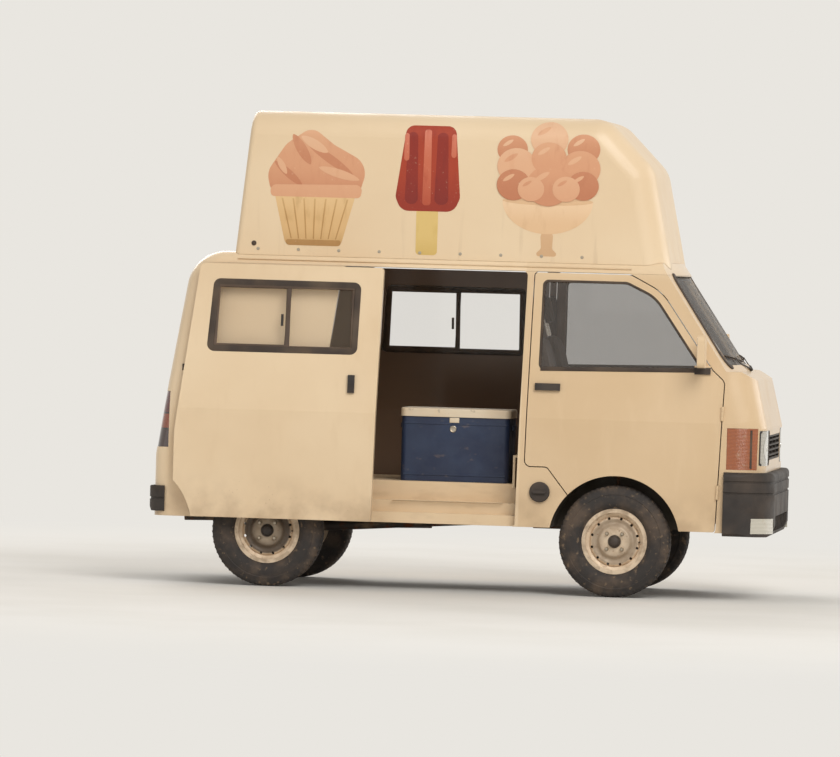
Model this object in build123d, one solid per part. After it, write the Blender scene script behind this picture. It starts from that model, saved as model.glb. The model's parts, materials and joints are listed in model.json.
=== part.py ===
from build123d import *
import math
import os

# Ice cream truck: a small cab-over microvan with a raised roof, sizes in millimetres.
# Origin on the ground below the middle of the van, +X ahead, +Y to its left, +Z up.

# Overall size: the axles are placed about the middle, the ends and the cab from the axles
WHEELBASE = 1780.0
BODY_WIDTH = 1395.0
ROOF_HEIGHT = 1705.0
AXLE_SHIFT = -95.0
FRONT_OVERHANG = 757.0
REAR_OVERHANG = 587.0
HALF_WIDTH = BODY_WIDTH / 2
REAR_AXLE_X = AXLE_SHIFT - WHEELBASE / 2
FRONT_AXLE_X = REAR_AXLE_X + WHEELBASE
NOSE_X = FRONT_AXLE_X + FRONT_OVERHANG
TAIL_X = REAR_AXLE_X - REAR_OVERHANG
EXTENSION_BOTTOM = 250.0
BODY_BOTTOM = 345.0
BELT_HEIGHT = 900.0
SILL_HALF_WIDTH = HALF_WIDTH - 7.5
ROOF_HALF_WIDTH = HALF_WIDTH - 85.9
WALL = 42.0
PANEL_GAP = 5.0
SEAT_GAP = 0.3
SEAM = 0.5
REACH = 3000.0
NEAR_Y = 400.0

# Shape of the windscreen, nose and tail on the centre line
HEADER_X = NOSE_X - 503.0
COWL_X = NOSE_X - 134.0
COWL_HEIGHT = 1163.0
NOSE_TOP_X = NOSE_X - 57.0
NOSE_TOP_HEIGHT = 1122.0
NOSE_KNEE_HEIGHT = 880.0
TAIL_KNEE_HEIGHT = 660.0
TAIL_TOP_X = TAIL_X + 157.0
SCREEN_CROWN_RADIUS = 3600.0
SCREEN_REAR_X = HEADER_X - 349.0
TAIL_FRONT_X = TAIL_X + 372.0

# Edge roundings of the body's outer skin
ROOF_REAR_RADIUS = 200.0
FRONT_CORNER_RADIUS = 150.0
REAR_CORNER_RADIUS = 75.0

# Raised roof
HIGH_TOP = 2430.0
HIGH_FOOT = 1560.0
HIGH_BASE_HALF_WIDTH = ROOF_HALF_WIDTH - 19.6
HIGH_TOP_HALF_WIDTH = HIGH_BASE_HALF_WIDTH - 24.0
HIGH_WALL = 20.0
HIGH_REAR_BASE_X = TAIL_X + 360.0
HIGH_REAR_TOP_X = TAIL_X + 442.0
HIGH_FRONT_TOP_X = HEADER_X - 359.0
HIGH_FRONT_KNEE_X = HEADER_X - 119.0
HIGH_FRONT_KNEE = 2180.0
HIGH_FRONT_BASE_X = HEADER_X + 7.0
HIGH_EDGE_RADIUS = 30.0
HIGH_KNEE_RADIUS = 170.0
HIGH_NOSE_RADIUS = 130.0
HATCH_REAR_X = HIGH_REAR_BASE_X + 132.0
HATCH_FRONT_X = HEADER_X - 229.0
HATCH_HALF_WIDTH = HIGH_BASE_HALF_WIDTH - 122.0

# Wheels and axles
TRACK = BODY_WIDTH - 190.0
TYRE_RADIUS = 284.0
TYRE_WIDTH = 145.0
TYRE_WALL = 14.0
TYRE_TREAD_EDGE = 22.0
RIM_SEAT_RADIUS = 152.0
BEAD_HEIGHT = 18.438
RIM_FLANGE_RADIUS = 167.0
RIM_WIDTH = 100.0
RIM_SHEET = 5.0
HUB_RADIUS = 30.0
HUB_REAR = 6.0
STUB_RADIUS = 17.0
STUB_LENGTH = 52.0
VENT_COUNT = 12
VENT_CIRCLE = 119.0
VENT_RADIUS = 7.0
ARCH_RADIUS = TYRE_RADIUS + 50.0
ARCH_WALL = 8.0
REAR_ARCH_INNER_Y = TRACK / 2 - 122.5
FRONT_ARCH_INNER_Y = TRACK / 2 - 242.5
KINGPIN_Y = TRACK / 2 - 95.5
KNUCKLE_BOTTOM = TYRE_RADIUS - 94.0
STRUT_TOP = TYRE_RADIUS + ARCH_RADIUS - 46.0
STRUT_RADIUS = 18.0
STRUT_ROD_RADIUS = 9.0
STRUT_CAP_RADIUS = 34.0
BALL_RADIUS = 14.0

# Doors
LEAN = 0.02
LEAN_HEIGHT = 1000.0
PILLAR_X = FRONT_AXLE_X - 495.0
PILLAR_WIDTH = 38.0
DOOR_TOP = 1640.0
DOOR_BOTTOM = 348.0
ROOF_SPLIT = 1645.0
FRONT_SPLIT_X = FRONT_AXLE_X - 195.0
FRONT_DOOR_REAR_X = PILLAR_X + PILLAR_WIDTH
FRONT_DOOR_REAR_BOTTOM = 655.0
DOOR_FRONT_X = NOSE_X - 219.0
DOOR_FRONT_HEIGHT = 1110.0
DOOR_FRONT_LEAN = 0.037
SLIDE_FRONT_X = PILLAR_X - PANEL_GAP
SLIDE_REAR_BOTTOM_X = REAR_AXLE_X + 247.0
SLIDE_REAR_TOP_X = REAR_AXLE_X + 351.0
SLIDE_ARCH_RADIUS = ARCH_RADIUS + 14.0
SLIDE_TRAVEL = 725.0
SLIDE_OUTSET = 62.0
HINGE_RADIUS = 8.0
HINGE_PROUD = 0.5
HINGE_CLEARANCE = 1.0
KNUCKLE_LENGTH = 24.0
FRONT_HINGE_STATIONS = (-560.0, -160.0)
GLASS_INSET = 10.0
GLASS_THICKNESS = 5.0
GLASS_CLEARANCE = 0.3

# Tailgate, as heights and half widths
TAILGATE_BOTTOM = 575.0
TAILGATE_WAIST = 1000.0
TAILGATE_TOP = 1640.0
TAILGATE_HALF_WIDTH = HALF_WIDTH - 137.5
TAILGATE_TOP_HALF_WIDTH = ROOF_HALF_WIDTH - 76.6
TAILGATE_HINGE_STATIONS = (205.0 - TAILGATE_TOP_HALF_WIDTH, TAILGATE_TOP_HALF_WIDTH - 205.0)
REAR_GLASS_BOTTOM = 1005.0
REAR_GLASS_TOP = 1470.0
REAR_GLASS_HALF_WIDTH = TAILGATE_HALF_WIDTH - 80.0
REAR_GLASS_TAPER = 25.0
REAR_PANEL_FRONT_X = TAIL_X + 272.0
REAR_PANEL_TOP = 700.0

# Windscreen glass
SCREEN_FOOT_HALF_WIDTH = HALF_WIDTH - 112.5
SCREEN_TOP_HALF_WIDTH = ROOF_HALF_WIDTH - 81.6
SCREEN_FOOT = 1195.0
SCREEN_TOP = 1640.0

# Lamps and grille follow the skin, as distances from the centre line and heights
HEAD_LAMP_Y = (HALF_WIDTH - 292.5, HALF_WIDTH - 55.5)
HEAD_LAMP_Z = (690.0, 868.0)
HEAD_LAMP_X = NOSE_X - 252.0
CORNER_LAMP_X = NOSE_X - 196.0
CORNER_LAMP_Y = HALF_WIDTH - 49.5
CORNER_LAMP_Z = (668.0, 878.0)
TAIL_LAMP_Z = (696.0, 980.0)
TAIL_LAMP_Y = HALF_WIDTH - 122.5
TAIL_LAMP_X = TAIL_X + 72.0
LAMP_PROUD = 2.0
LAMP_DEPTH = 30.0
GRILLE_HALF_WIDTH = HEAD_LAMP_Y[0] - 13.0
GRILLE_Z = (716.0, 842.0)
GRILLE_RIM = 10.0
GRILLE_SLAT = 9.0
GRILLE_SLATS = 4
GRILLE_POSTS = 2
GRILLE_X = NOSE_X - 152.0

# Bumpers: the body's form pushed outward and along, then trimmed
FRONT_BUMPER_PROUD = 25.0
FRONT_BUMPER_SHIFT = 20.0
FRONT_BUMPER_X = NOSE_X - 207.0
FRONT_BUMPER_Z = (330.0, 655.0)
FRONT_BUMPER_ROUND = 26.0
REAR_BUMPER_PROUD = 12.0
REAR_BUMPER_SHIFT = -14.0
REAR_BUMPER_X = TAIL_X + 60.0
REAR_BUMPER_Z = (368.0, 498.0)
REAR_BUMPER_ROUND = 14.0
GROOVE_DEPTH = 5.0
GROOVE_HEIGHT = 12.0
FRONT_GROOVES = (548.0, 606.0)
REAR_GROOVES = (433.0,)
INTAKE_HALF_WIDTH = HALF_WIDTH - 257.5
INTAKE_Z = (352.0, 432.0)
INTAKE_DEPTH = 26.0
INTAKE_RIBS = 7
INTAKE_RIB = 10.0
FOG_LAMP_Y = (HALF_WIDTH - 137.5, HALF_WIDTH + 5.5)
FOG_LAMP_Z = (346.0, 424.0)
FOG_LAMP_X = NOSE_X - 92.0
FOG_LAMP_DEPTH = 18.0

# Floors
CARGO_FLOOR = 556.0
CARGO_SHEET = 16.0
FLOOR_SHEET = 4.0
RISER_SHEET = 8.0
STEP_HEIGHT = 459.0
STEP_WIDTH = 70.0
SILL_TOP = 399.0
SILL_WIDTH = 46.0
SILL_OUTER_Y = HALF_WIDTH - WALL - PANEL_GAP - 4.0
STEP_INNER_Y = SILL_OUTER_Y - SILL_WIDTH - STEP_WIDTH
SILL_X = (REAR_AXLE_X + ARCH_RADIUS + 10.0, FRONT_AXLE_X - ARCH_RADIUS - ARCH_WALL)
CAB_FLOOR = 500.0
CAB_SHEET = 20.0
PLATFORM_TOP = 705.0
PLATFORM_SHEET = 12.0
PLATFORM_REAR_X = PILLAR_X - 38.0
PLATFORM_FRONT_X = FRONT_AXLE_X + 110.0
PLATFORM_HALF_WIDTH = HALF_WIDTH - 97.5

# Chassis
RAIL_INNER_Y = FRONT_ARCH_INNER_Y - 75.0
RAIL_WIDTH = 50.0
RAIL_OUTER_Y = RAIL_INNER_Y + RAIL_WIDTH
RAIL_SHEET = 5.0
RAIL_BOTTOM = 402.0
RAIL_REAR_BOTTOM = 440.0
RAIL_REAR_TOP = 538.0
RAIL_X = (TAIL_X + 72.0, NOSE_X - 62.0)
MEMBER_HALF_LENGTH = 25.0
TOW_MEMBER_X = (TAIL_X + 127.0, NOSE_X - 127.0)
TOW_EYE_RADIUS = 14.0
TOW_EYE_THICKNESS = 12.0
TOW_EYE_HALF_WIDTH = 26.0
TOW_EYE_REACH = 49.0
TOW_EYE_LAP = 5.0
AXLE_TUBE_RADIUS = 32.0
DIFFERENTIAL_RADIUS = 92.0
DRUM_RADIUS = 105.0
SHAFT_RADIUS = 26.0
SPRING_Y = REAR_ARCH_INNER_Y - 65.0
SPRING_WIDTH = 50.0
SPRING_THICKNESS = 22.0
SPRING_HALF_LENGTH = 440.0
SPRING_EYE_HEIGHT = 422.0
SPRING_EYE_RADIUS = 18.0
LEAF_SHARES = (1.0, 0.7, 0.42)

# Engine, tank and exhaust
ENGINE_X = (FRONT_AXLE_X - 465.0, FRONT_AXLE_X - 35.0)
ENGINE_HALF_WIDTH = RAIL_INNER_Y - 110.0
ENGINE_Z = (322.0, 640.0)
ENGINE_EDGE_RADIUS = 30.0
ENGINE_SHAFT_HEIGHT = 372.0
TANK_X = (REAR_AXLE_X + 565.0, PLATFORM_REAR_X - 47.0)
TANK_Z = (365.0, 522.0)
TANK_EDGE_RADIUS = 28.0
EXHAUST_Y = RAIL_INNER_Y - 60.0
EXHAUST_RADIUS = 19.0
SILENCER_X = (REAR_AXLE_X + 285.0, REAR_AXLE_X + 745.0)
SILENCER_RADIUS = 68.0
TAIL_PIPE_BEND = 70.0

# Cab
SEAT_Y = HALF_WIDTH - 367.5
SEAT_HALF_WIDTH = SEAT_Y - 100.0
HEAD_REST_HALF_WIDTH = SEAT_HALF_WIDTH * 13 / 23
CUSHION_TOP = 835.0
CUSHION_RADIUS = 35.0
STEERING_Y = SEAT_Y + 5.0
STEERING_X = COWL_X - 328.0
STEERING_HEIGHT = 1075.0
STEERING_RADIUS = 178.0
STEERING_GRIP = 14.0
COLUMN_RADIUS = 26.0
COLUMN_LENGTH = 330.0

# Fittings on the outside
FUEL_CAP_X = FRONT_AXLE_X - 384.0
FUEL_CAP_HEIGHT = 525.0
FUEL_CAP_RADIUS = 52.0
TRACK_X = (TAIL_X + 132.0, SLIDE_REAR_BOTTOM_X - 22.0)
TRACK_Z = (1090.0, 1122.0)
TRACK_PROUD = 10.0
TRACK_ARM_OFFSETS = (303.0, 563.0)
SLIDE_HANDLE_X = PILLAR_X - 137.0
SLIDE_HANDLE_Z = (1000.0, 1091.0)
SLIDE_HANDLE_PROUD = 14.0
GRIP_X = (PILLAR_X + 72.0, PILLAR_X + 200.0)
GRIP_Z = (1042.0, 1078.0)
GRIP_PROUD = 16.0
MIRROR_X = DOOR_FRONT_X - 109.0
MIRROR_INNER_Y = HALF_WIDTH + 22.5
MIRROR_OUTER_Y = HALF_WIDTH + 154.5
MIRROR_Z = (1175.0, 1345.0)
MIRROR_FOOT_HEIGHT = 1178.0

# Vending equipment
CHEST_X = (PILLAR_X - 633.0, PILLAR_X - 76.0)
CHEST_OUTER_Y = STEP_INNER_Y - 78.5
CHEST_Y = (-CHEST_OUTER_Y, 340.0 - CHEST_OUTER_Y)
CHEST_HEIGHT = 330.0
CHEST_WALL = 32.0
CHEST_RADIUS = 28.0
LID_HEIGHT = 44.0
LID_OVERHANG = 6.0
CHEST_HINGE_OFFSET = 9.0
CHEST_HINGE_RADIUS = 7.0
CHEST_BARREL_LENGTH = 40.0
CHEST_HINGE_INSET = 120.0


def lean_x(x, z):
    """Move x forward with height, as the door edges lean."""
    return x + (z - LEAN_HEIGHT) * LEAN


def flat_outline(points, plane, grow=0.0):
    """A face from points given as (across, up, corner radius), grown by an offset."""
    corners = [(p[0], p[1]) for p in points]
    radii = [p[2] for p in points]
    face = make_face(FilletPolyline(corners, radius=radii, close=True).edges())
    if grow:
        face = offset(face, amount=grow, kind=Kind.INTERSECTION)
    return plane * face


def side_prism(points, grow=0.0, near=0.0, far=REACH, side=-1):
    """Push an XZ outline sideways from |y| = near to far, on one side of the van."""
    prism = extrude(flat_outline(points, Plane.XZ, grow), amount=far - near, dir=(0, side, 0))
    return Pos(0, side * near, 0) * prism


def cross_prism(points, grow=0.0, x_from=-REACH, x_to=REACH):
    """Push a YZ outline along the van between two stations."""
    prism = extrude(flat_outline(points, Plane.YZ, grow), amount=x_to - x_from, dir=(1, 0, 0))
    return Pos(x_from, 0, 0) * prism


def span(x, y, z):
    """A box between the limits of each axis, given as pairs."""
    size = (x[1] - x[0], y[1] - y[0], z[1] - z[0])
    centre = Pos((x[0] + x[1]) / 2, (y[0] + y[1]) / 2, (z[0] + z[1]) / 2)
    return centre * Box(*size)


def region(x, y, z, side):
    """A box on one side of the van, y given as distances from the centre line."""
    low, high = sorted((side * y[0], side * y[1]))
    return span(x, (low, high), z)


def grown(limits, amount):
    """A pair of limits moved apart at both ends."""
    return (limits[0] - amount, limits[1] + amount)


def rod(start, end, radius):
    """A round bar between two points."""
    axis = Vector(*end) - Vector(*start)
    return Plane(origin=start, z_dir=axis.normalized()) * Cylinder(
        radius, axis.length, align=(Align.CENTER, Align.CENTER, Align.MIN)
    )


def fused(shapes):
    """All the shapes of a list as one."""
    whole = shapes[0]
    for shape in shapes[1:]:
        whole = whole + shape
    return whole


def both_sides(make):
    """The same piece on the right and on the left, as one shape."""
    return make(-1) + make(1)


EVERYWHERE = (-REACH, REACH)

# Body envelope

SIDE_OUTLINE = [
    (TAIL_X, EXTENSION_BOTTOM, 0),
    (TAIL_X, TAIL_KNEE_HEIGHT, 0),
    (TAIL_TOP_X, ROOF_HEIGHT, 0),
    (HEADER_X, ROOF_HEIGHT, 0),
    (COWL_X, COWL_HEIGHT, 0),
    (NOSE_TOP_X, NOSE_TOP_HEIGHT, 0),
    (NOSE_X, NOSE_KNEE_HEIGHT, 0),
    (NOSE_X, EXTENSION_BOTTOM, 0),
]
CROSS_OUTLINE = [
    (-SILL_HALF_WIDTH, EXTENSION_BOTTOM, 0),
    (-HALF_WIDTH, BELT_HEIGHT, 0),
    (-ROOF_HALF_WIDTH, ROOF_HEIGHT, 0),
    (ROOF_HALF_WIDTH, ROOF_HEIGHT, 0),
    (HALF_WIDTH, BELT_HEIGHT, 0),
    (SILL_HALF_WIDTH, EXTENSION_BOTTOM, 0),
]


def screen_crown(inset):
    """What the bowed windscreen takes off the flat one: a slab less a long cylinder."""
    run = Vector(COWL_X - HEADER_X, 0, COWL_HEIGHT - ROOF_HEIGHT).normalized()
    outward = Vector(-run.Z, 0, run.X)
    middle = Vector((COWL_X + HEADER_X) / 2, 0, (COWL_HEIGHT + ROOF_HEIGHT) / 2)
    axis_point = middle - outward * SCREEN_CROWN_RADIUS
    barrel = Plane(origin=axis_point, z_dir=run) * Cylinder(SCREEN_CROWN_RADIUS - inset, REACH)
    slab = span((SCREEN_REAR_X, REACH), EVERYWHERE, (COWL_HEIGHT - inset, REACH))
    return slab - barrel


def runs_up(edge):
    return abs(edge.tangent_at(0.5).Z) > 0.3


def runs_across(edge):
    return abs(edge.tangent_at(0.5).Y) > 0.9


def edges_near(shape, test):
    """The edges of a shape whose middle point and direction pass a test."""
    return [edge for edge in shape.edges() if test(edge, edge.center())]


def envelope(inset):
    """The body's outer form, drawn in by inset, with its roundings."""
    side = extrude(flat_outline(SIDE_OUTLINE, Plane.XZ, -inset), amount=REACH / 2, both=True)
    cross = extrude(flat_outline(CROSS_OUTLINE, Plane.YZ, -inset), amount=REACH, both=True)
    body = side & cross
    half = ROOF_HALF_WIDTH / 2
    high = ROOF_HEIGHT - ROOF_REAR_RADIUS / 2
    ahead = COWL_X - 18
    behind = TAIL_X + 312
    below = NOSE_TOP_HEIGHT - 20
    body = fillet(
        edges_near(body, lambda e, c: runs_across(e) and c.Z > high and c.X < behind + WALL),
        ROOF_REAR_RADIUS - inset,
    )
    body = fillet(
        edges_near(body, lambda e, c: runs_up(e) and c.X > ahead and c.Z < below and abs(c.Y) > half),
        FRONT_CORNER_RADIUS - inset,
    )
    body = fillet(
        edges_near(
            body,
            lambda e, c: runs_up(e) and c.X < behind and abs(c.Y) > half and abs(e.tangent_at(0.5).X) < 0.95,
        ),
        REAR_CORNER_RADIUS - inset,
    )
    return body - screen_crown(inset)


OUTER = envelope(0.0)
INNER = envelope(WALL)
SKIN = envelope(-SEAT_GAP)
SHELL = (OUTER - INNER) & span(EVERYWHERE, EVERYWHERE, (BODY_BOTTOM, REACH))


def wheel_cylinder(axle_x, radius, near, far, side):
    """A cylinder about a wheel's centre, across the van from |y| = near to far."""
    return rod((axle_x, side * near, TYRE_RADIUS), (axle_x, side * far, TYRE_RADIUS), radius)


def arches(radius):
    """The room that the four wheels take, as one shape."""
    rooms = []
    for side in (-1, 1):
        rooms.append(wheel_cylinder(REAR_AXLE_X, radius, REAR_ARCH_INNER_Y, REACH / 2, side))
        rooms.append(wheel_cylinder(FRONT_AXLE_X, radius, FRONT_ARCH_INNER_Y, REACH / 2, side))
    return fused(rooms)


ARCHES = arches(ARCH_RADIUS)

# Outlines of doors and windows: across, up, corner radius

FRONT_DOOR = [
    (lean_x(FRONT_DOOR_REAR_X, FRONT_DOOR_REAR_BOTTOM), FRONT_DOOR_REAR_BOTTOM, 30),
    (lean_x(FRONT_DOOR_REAR_X, DOOR_TOP), DOOR_TOP, 20),
    (HEADER_X - 214, DOOR_TOP, 90),
    (HEADER_X - 49, DOOR_TOP - 85, 250),
    (DOOR_FRONT_X - 61, DOOR_FRONT_HEIGHT + 55, 60),
    (DOOR_FRONT_X, DOOR_FRONT_HEIGHT, 40),
    (DOOR_FRONT_X - (DOOR_FRONT_HEIGHT - DOOR_BOTTOM) * DOOR_FRONT_LEAN, DOOR_BOTTOM, 12),
    (FRONT_AXLE_X + 240, DOOR_BOTTOM, 0),
    (FRONT_AXLE_X, TYRE_RADIUS + 250, 0),
    (FRONT_AXLE_X - 215, TYRE_RADIUS + 200, 0),
    (FRONT_AXLE_X - 350, FRONT_DOOR_REAR_BOTTOM, 30),
]
FRONT_WINDOW = [
    (PILLAR_X + 90, 1150, 25),
    (PILLAR_X + 97, 1599, 25),
    (HEADER_X - 227, 1599, 60),
    (HEADER_X - 81, 1530, 200),
    (DOOR_FRONT_X - 111, 1165, 20),
]
SLIDE_DOOR = [
    (SLIDE_REAR_BOTTOM_X, DOOR_BOTTOM, 0),
    (SLIDE_REAR_BOTTOM_X, 784, 200),
    (SLIDE_REAR_TOP_X, DOOR_TOP, 25),
    (lean_x(SLIDE_FRONT_X, DOOR_TOP), DOOR_TOP, 20),
    (lean_x(SLIDE_FRONT_X, DOOR_BOTTOM), DOOR_BOTTOM, 15),
]
SLIDE_WINDOW = [
    (SLIDE_REAR_TOP_X + 55, 1198, 30),
    (SLIDE_REAR_TOP_X + 79, 1556, 30),
    (PILLAR_X - 112, 1553, 30),
    (PILLAR_X - 121, 1199, 30),
]
TAILGATE = [
    (-TAILGATE_HALF_WIDTH, TAILGATE_BOTTOM, 40),
    (-TAILGATE_HALF_WIDTH, TAILGATE_WAIST, 100),
    (-TAILGATE_TOP_HALF_WIDTH, TAILGATE_TOP, 30),
    (TAILGATE_TOP_HALF_WIDTH, TAILGATE_TOP, 30),
    (TAILGATE_HALF_WIDTH, TAILGATE_WAIST, 100),
    (TAILGATE_HALF_WIDTH, TAILGATE_BOTTOM, 40),
]
REAR_WINDOW = [
    (-REAR_GLASS_HALF_WIDTH, REAR_GLASS_BOTTOM, 50),
    (-REAR_GLASS_HALF_WIDTH + REAR_GLASS_TAPER, REAR_GLASS_TOP, 50),
    (REAR_GLASS_HALF_WIDTH - REAR_GLASS_TAPER, REAR_GLASS_TOP, 50),
    (REAR_GLASS_HALF_WIDTH, REAR_GLASS_BOTTOM, 50),
]
SCREEN = [
    (-SCREEN_FOOT_HALF_WIDTH, SCREEN_FOOT, 60),
    (-SCREEN_TOP_HALF_WIDTH, SCREEN_TOP, 60),
    (SCREEN_TOP_HALF_WIDTH, SCREEN_TOP, 60),
    (SCREEN_FOOT_HALF_WIDTH, SCREEN_FOOT, 60),
]


def front_door_axis(side):
    """A point on the front door's hinge axis and the axis direction."""
    point = Vector(DOOR_FRONT_X + PANEL_GAP / 2, side * (HALF_WIDTH + HINGE_PROUD), DOOR_FRONT_HEIGHT)
    direction = Vector(DOOR_FRONT_LEAN, 0, 1).normalized()
    return point, direction


def tailgate_axis():
    """The tailgate's hinge line runs across, on the skin at its top edge."""
    bend_x = TAIL_X + 329.0
    bend_height = ROOF_HEIGHT - ROOF_REAR_RADIUS
    rise = math.asin((TAILGATE_TOP - bend_height) / ROOF_REAR_RADIUS)
    x = bend_x - ROOF_REAR_RADIUS * math.cos(rise)
    return Vector(x, 0, TAILGATE_TOP + PANEL_GAP / 2), Vector(0, 1, 0)


def barrels_along(point, direction, stations, moving, slack=0.0):
    """Hinge barrels along an axis: one moving barrel between two fixed ones at each station."""
    barrels = []
    step = KNUCKLE_LENGTH + SEAT_GAP
    half = KNUCKLE_LENGTH / 2 + (SEAT_GAP if slack else 0.0)
    for station in stations:
        for place in ((0,) if moving else (-1, 1)):
            middle = point + direction * (station + place * step)
            start = middle - direction * half
            end = middle + direction * half
            barrels.append(rod(tuple(start), tuple(end), HINGE_RADIUS + slack))
    return barrels


def hinge_panel(panel, point, direction, stations, moving):
    """Give a panel its own barrels and cut the room that the other panel's barrels turn in."""
    for room in barrels_along(point, direction, stations, not moving, HINGE_CLEARANCE):
        panel = panel - room
    for barrel in barrels_along(point, direction, stations, moving):
        panel = panel + barrel
    return panel


def pane(outline, make_prism, **place):
    """A sheet of glass that follows the skin inside a window outline."""
    sheet = envelope(GLASS_INSET) - envelope(GLASS_INSET + GLASS_THICKNESS)
    return sheet & make_prism(outline, grow=-GLASS_CLEARANCE, **place)


def make_front_door(side):
    point, direction = front_door_axis(side)
    panel = SHELL & side_prism(FRONT_DOOR, side=side, near=NEAR_Y)
    panel = panel - side_prism(FRONT_WINDOW, side=side, near=NEAR_Y) - ARCHES
    return hinge_panel(panel, point, direction, FRONT_HINGE_STATIONS, moving=True)


def make_slide_door(side):
    panel = SHELL & side_prism(SLIDE_DOOR, side=side, near=NEAR_Y)
    panel = panel - side_prism(SLIDE_WINDOW, side=side, near=NEAR_Y)
    return panel - wheel_cylinder(REAR_AXLE_X, SLIDE_ARCH_RADIUS, NEAR_Y, REACH, side)


def make_tailgate():
    point, direction = tailgate_axis()
    panel = SHELL & cross_prism(TAILGATE, x_to=TAIL_FRONT_X)
    panel = panel - cross_prism(REAR_WINDOW, x_to=TAIL_FRONT_X)
    return hinge_panel(panel, point, direction, TAILGATE_HINGE_STATIONS, moving=True)


def head_lamp_region(side, grow=0.0):
    return region((HEAD_LAMP_X, REACH), grown(HEAD_LAMP_Y, grow), grown(HEAD_LAMP_Z, grow), side)


def corner_lamp_region(side, grow=0.0):
    width = (CORNER_LAMP_Y - grow, REACH)
    return region((CORNER_LAMP_X - grow, REACH), width, grown(CORNER_LAMP_Z, grow), side)


def tail_lamp_region(side, grow=0.0):
    width = (TAIL_LAMP_Y - grow, REACH)
    return region((-REACH, TAIL_LAMP_X + grow), width, grown(TAIL_LAMP_Z, grow), side)


LAMP_SHEET = envelope(LAMP_PROUD) - envelope(LAMP_DEPTH)


def make_grille():
    """A framed grille with level slats, set in the nose between the headlamps."""
    width = (-GRILLE_HALF_WIDTH, GRILLE_HALF_WIDTH)
    depth = (GRILLE_X, REACH)
    frame = span(depth, width, GRILLE_Z)
    pieces = [frame - span(depth, grown(width, -GRILLE_RIM), grown(GRILLE_Z, -GRILLE_RIM))]
    pitch = (GRILLE_Z[1] - GRILLE_Z[0]) / (GRILLE_SLATS + 1)
    for number in range(GRILLE_SLATS):
        height = GRILLE_Z[0] + pitch * (number + 1)
        pieces.append(span(depth, width, (height - GRILLE_SLAT / 2, height + GRILLE_SLAT / 2)))
    spacing = 2 * GRILLE_HALF_WIDTH / (GRILLE_POSTS + 1)
    for number in range(GRILLE_POSTS):
        y = spacing * (number + 1) - GRILLE_HALF_WIDTH
        pieces.append(span(depth, (y - GRILLE_SLAT / 2, y + GRILLE_SLAT / 2), GRILLE_Z))
    return fused(pieces) & LAMP_SHEET


def body_with_openings():
    """The body shell less its doors, glass, lamps, grille and arches."""
    body = SHELL - ARCHES
    for side in (-1, 1):
        body = body - side_prism(FRONT_DOOR, grow=PANEL_GAP, side=side, near=NEAR_Y)
        body = body - side_prism(SLIDE_DOOR, grow=PANEL_GAP, side=side, near=NEAR_Y)
        body = body - head_lamp_region(side, SEAT_GAP)
        body = body - corner_lamp_region(side, SEAT_GAP)
        body = body - tail_lamp_region(side, SEAT_GAP)
    body = body - cross_prism(TAILGATE, grow=PANEL_GAP, x_to=TAIL_FRONT_X)
    body = body - cross_prism(SCREEN, x_from=SCREEN_REAR_X)
    width = (-GRILLE_HALF_WIDTH, GRILLE_HALF_WIDTH)
    return body - span((GRILLE_X, REACH), grown(width, SEAT_GAP), grown(GRILLE_Z, SEAT_GAP))


def body_panels():
    """Split the body shell where its panels meet."""
    body = body_with_openings()
    roof = body & span(EVERYWHERE, EVERYWHERE, (ROOF_SPLIT, REACH))
    hatch_width = (-HATCH_HALF_WIDTH, HATCH_HALF_WIDTH)
    roof = roof - span((HATCH_REAR_X, HATCH_FRONT_X), hatch_width, (ROOF_SPLIT, REACH))
    below = body & span(EVERYWHERE, EVERYWHERE, (0, ROOF_SPLIT - SEAM))
    front = below & span((FRONT_SPLIT_X, REACH), EVERYWHERE, EVERYWHERE)
    rest = below & span((-REACH, FRONT_SPLIT_X - SEAM), EVERYWHERE, EVERYWHERE)
    tail_width = grown((-TAILGATE_HALF_WIDTH, TAILGATE_HALF_WIDTH), PANEL_GAP)
    tail_x = (-REACH, REAR_PANEL_FRONT_X)
    rear = rest & span(tail_x, tail_width, (0, REAR_PANEL_TOP))
    sides = rest - span(tail_x, grown(tail_width, SEAM), (0, REAR_PANEL_TOP))
    for side in (-1, 1):
        point, direction = front_door_axis(side)
        front = hinge_panel(front, point, direction, FRONT_HINGE_STATIONS, moving=False)
    point, direction = tailgate_axis()
    roof = hinge_panel(roof, point, direction, TAILGATE_HINGE_STATIONS, moving=False)
    return {"roof_panel": roof, "front_panel": front, "rear_panel": rear, "sides": sides}


def door_sill(side):
    """The stepped sill below the sliding door: a folded sheet from the side wall to the riser."""
    tread_inner = SILL_OUTER_Y - SILL_WIDTH - STEP_WIDTH
    sill = region(SILL_X, (SILL_OUTER_Y - SILL_WIDTH, SILL_OUTER_Y), (BODY_BOTTOM, SILL_TOP), side)
    tread = region(SILL_X, (tread_inner, SILL_OUTER_Y - SILL_WIDTH), (BODY_BOTTOM, STEP_HEIGHT), side)
    hollow_x = grown(SILL_X, -FLOOR_SHEET)
    under_sill = region(
        hollow_x, (tread_inner, SILL_OUTER_Y - FLOOR_SHEET), (BODY_BOTTOM, SILL_TOP - FLOOR_SHEET), side
    )
    under_tread = region(
        hollow_x,
        (tread_inner, SILL_OUTER_Y - SILL_WIDTH - FLOOR_SHEET),
        (BODY_BOTTOM, STEP_HEIGHT - FLOOR_SHEET),
        side,
    )
    return sill + tread - under_sill - under_tread


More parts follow.
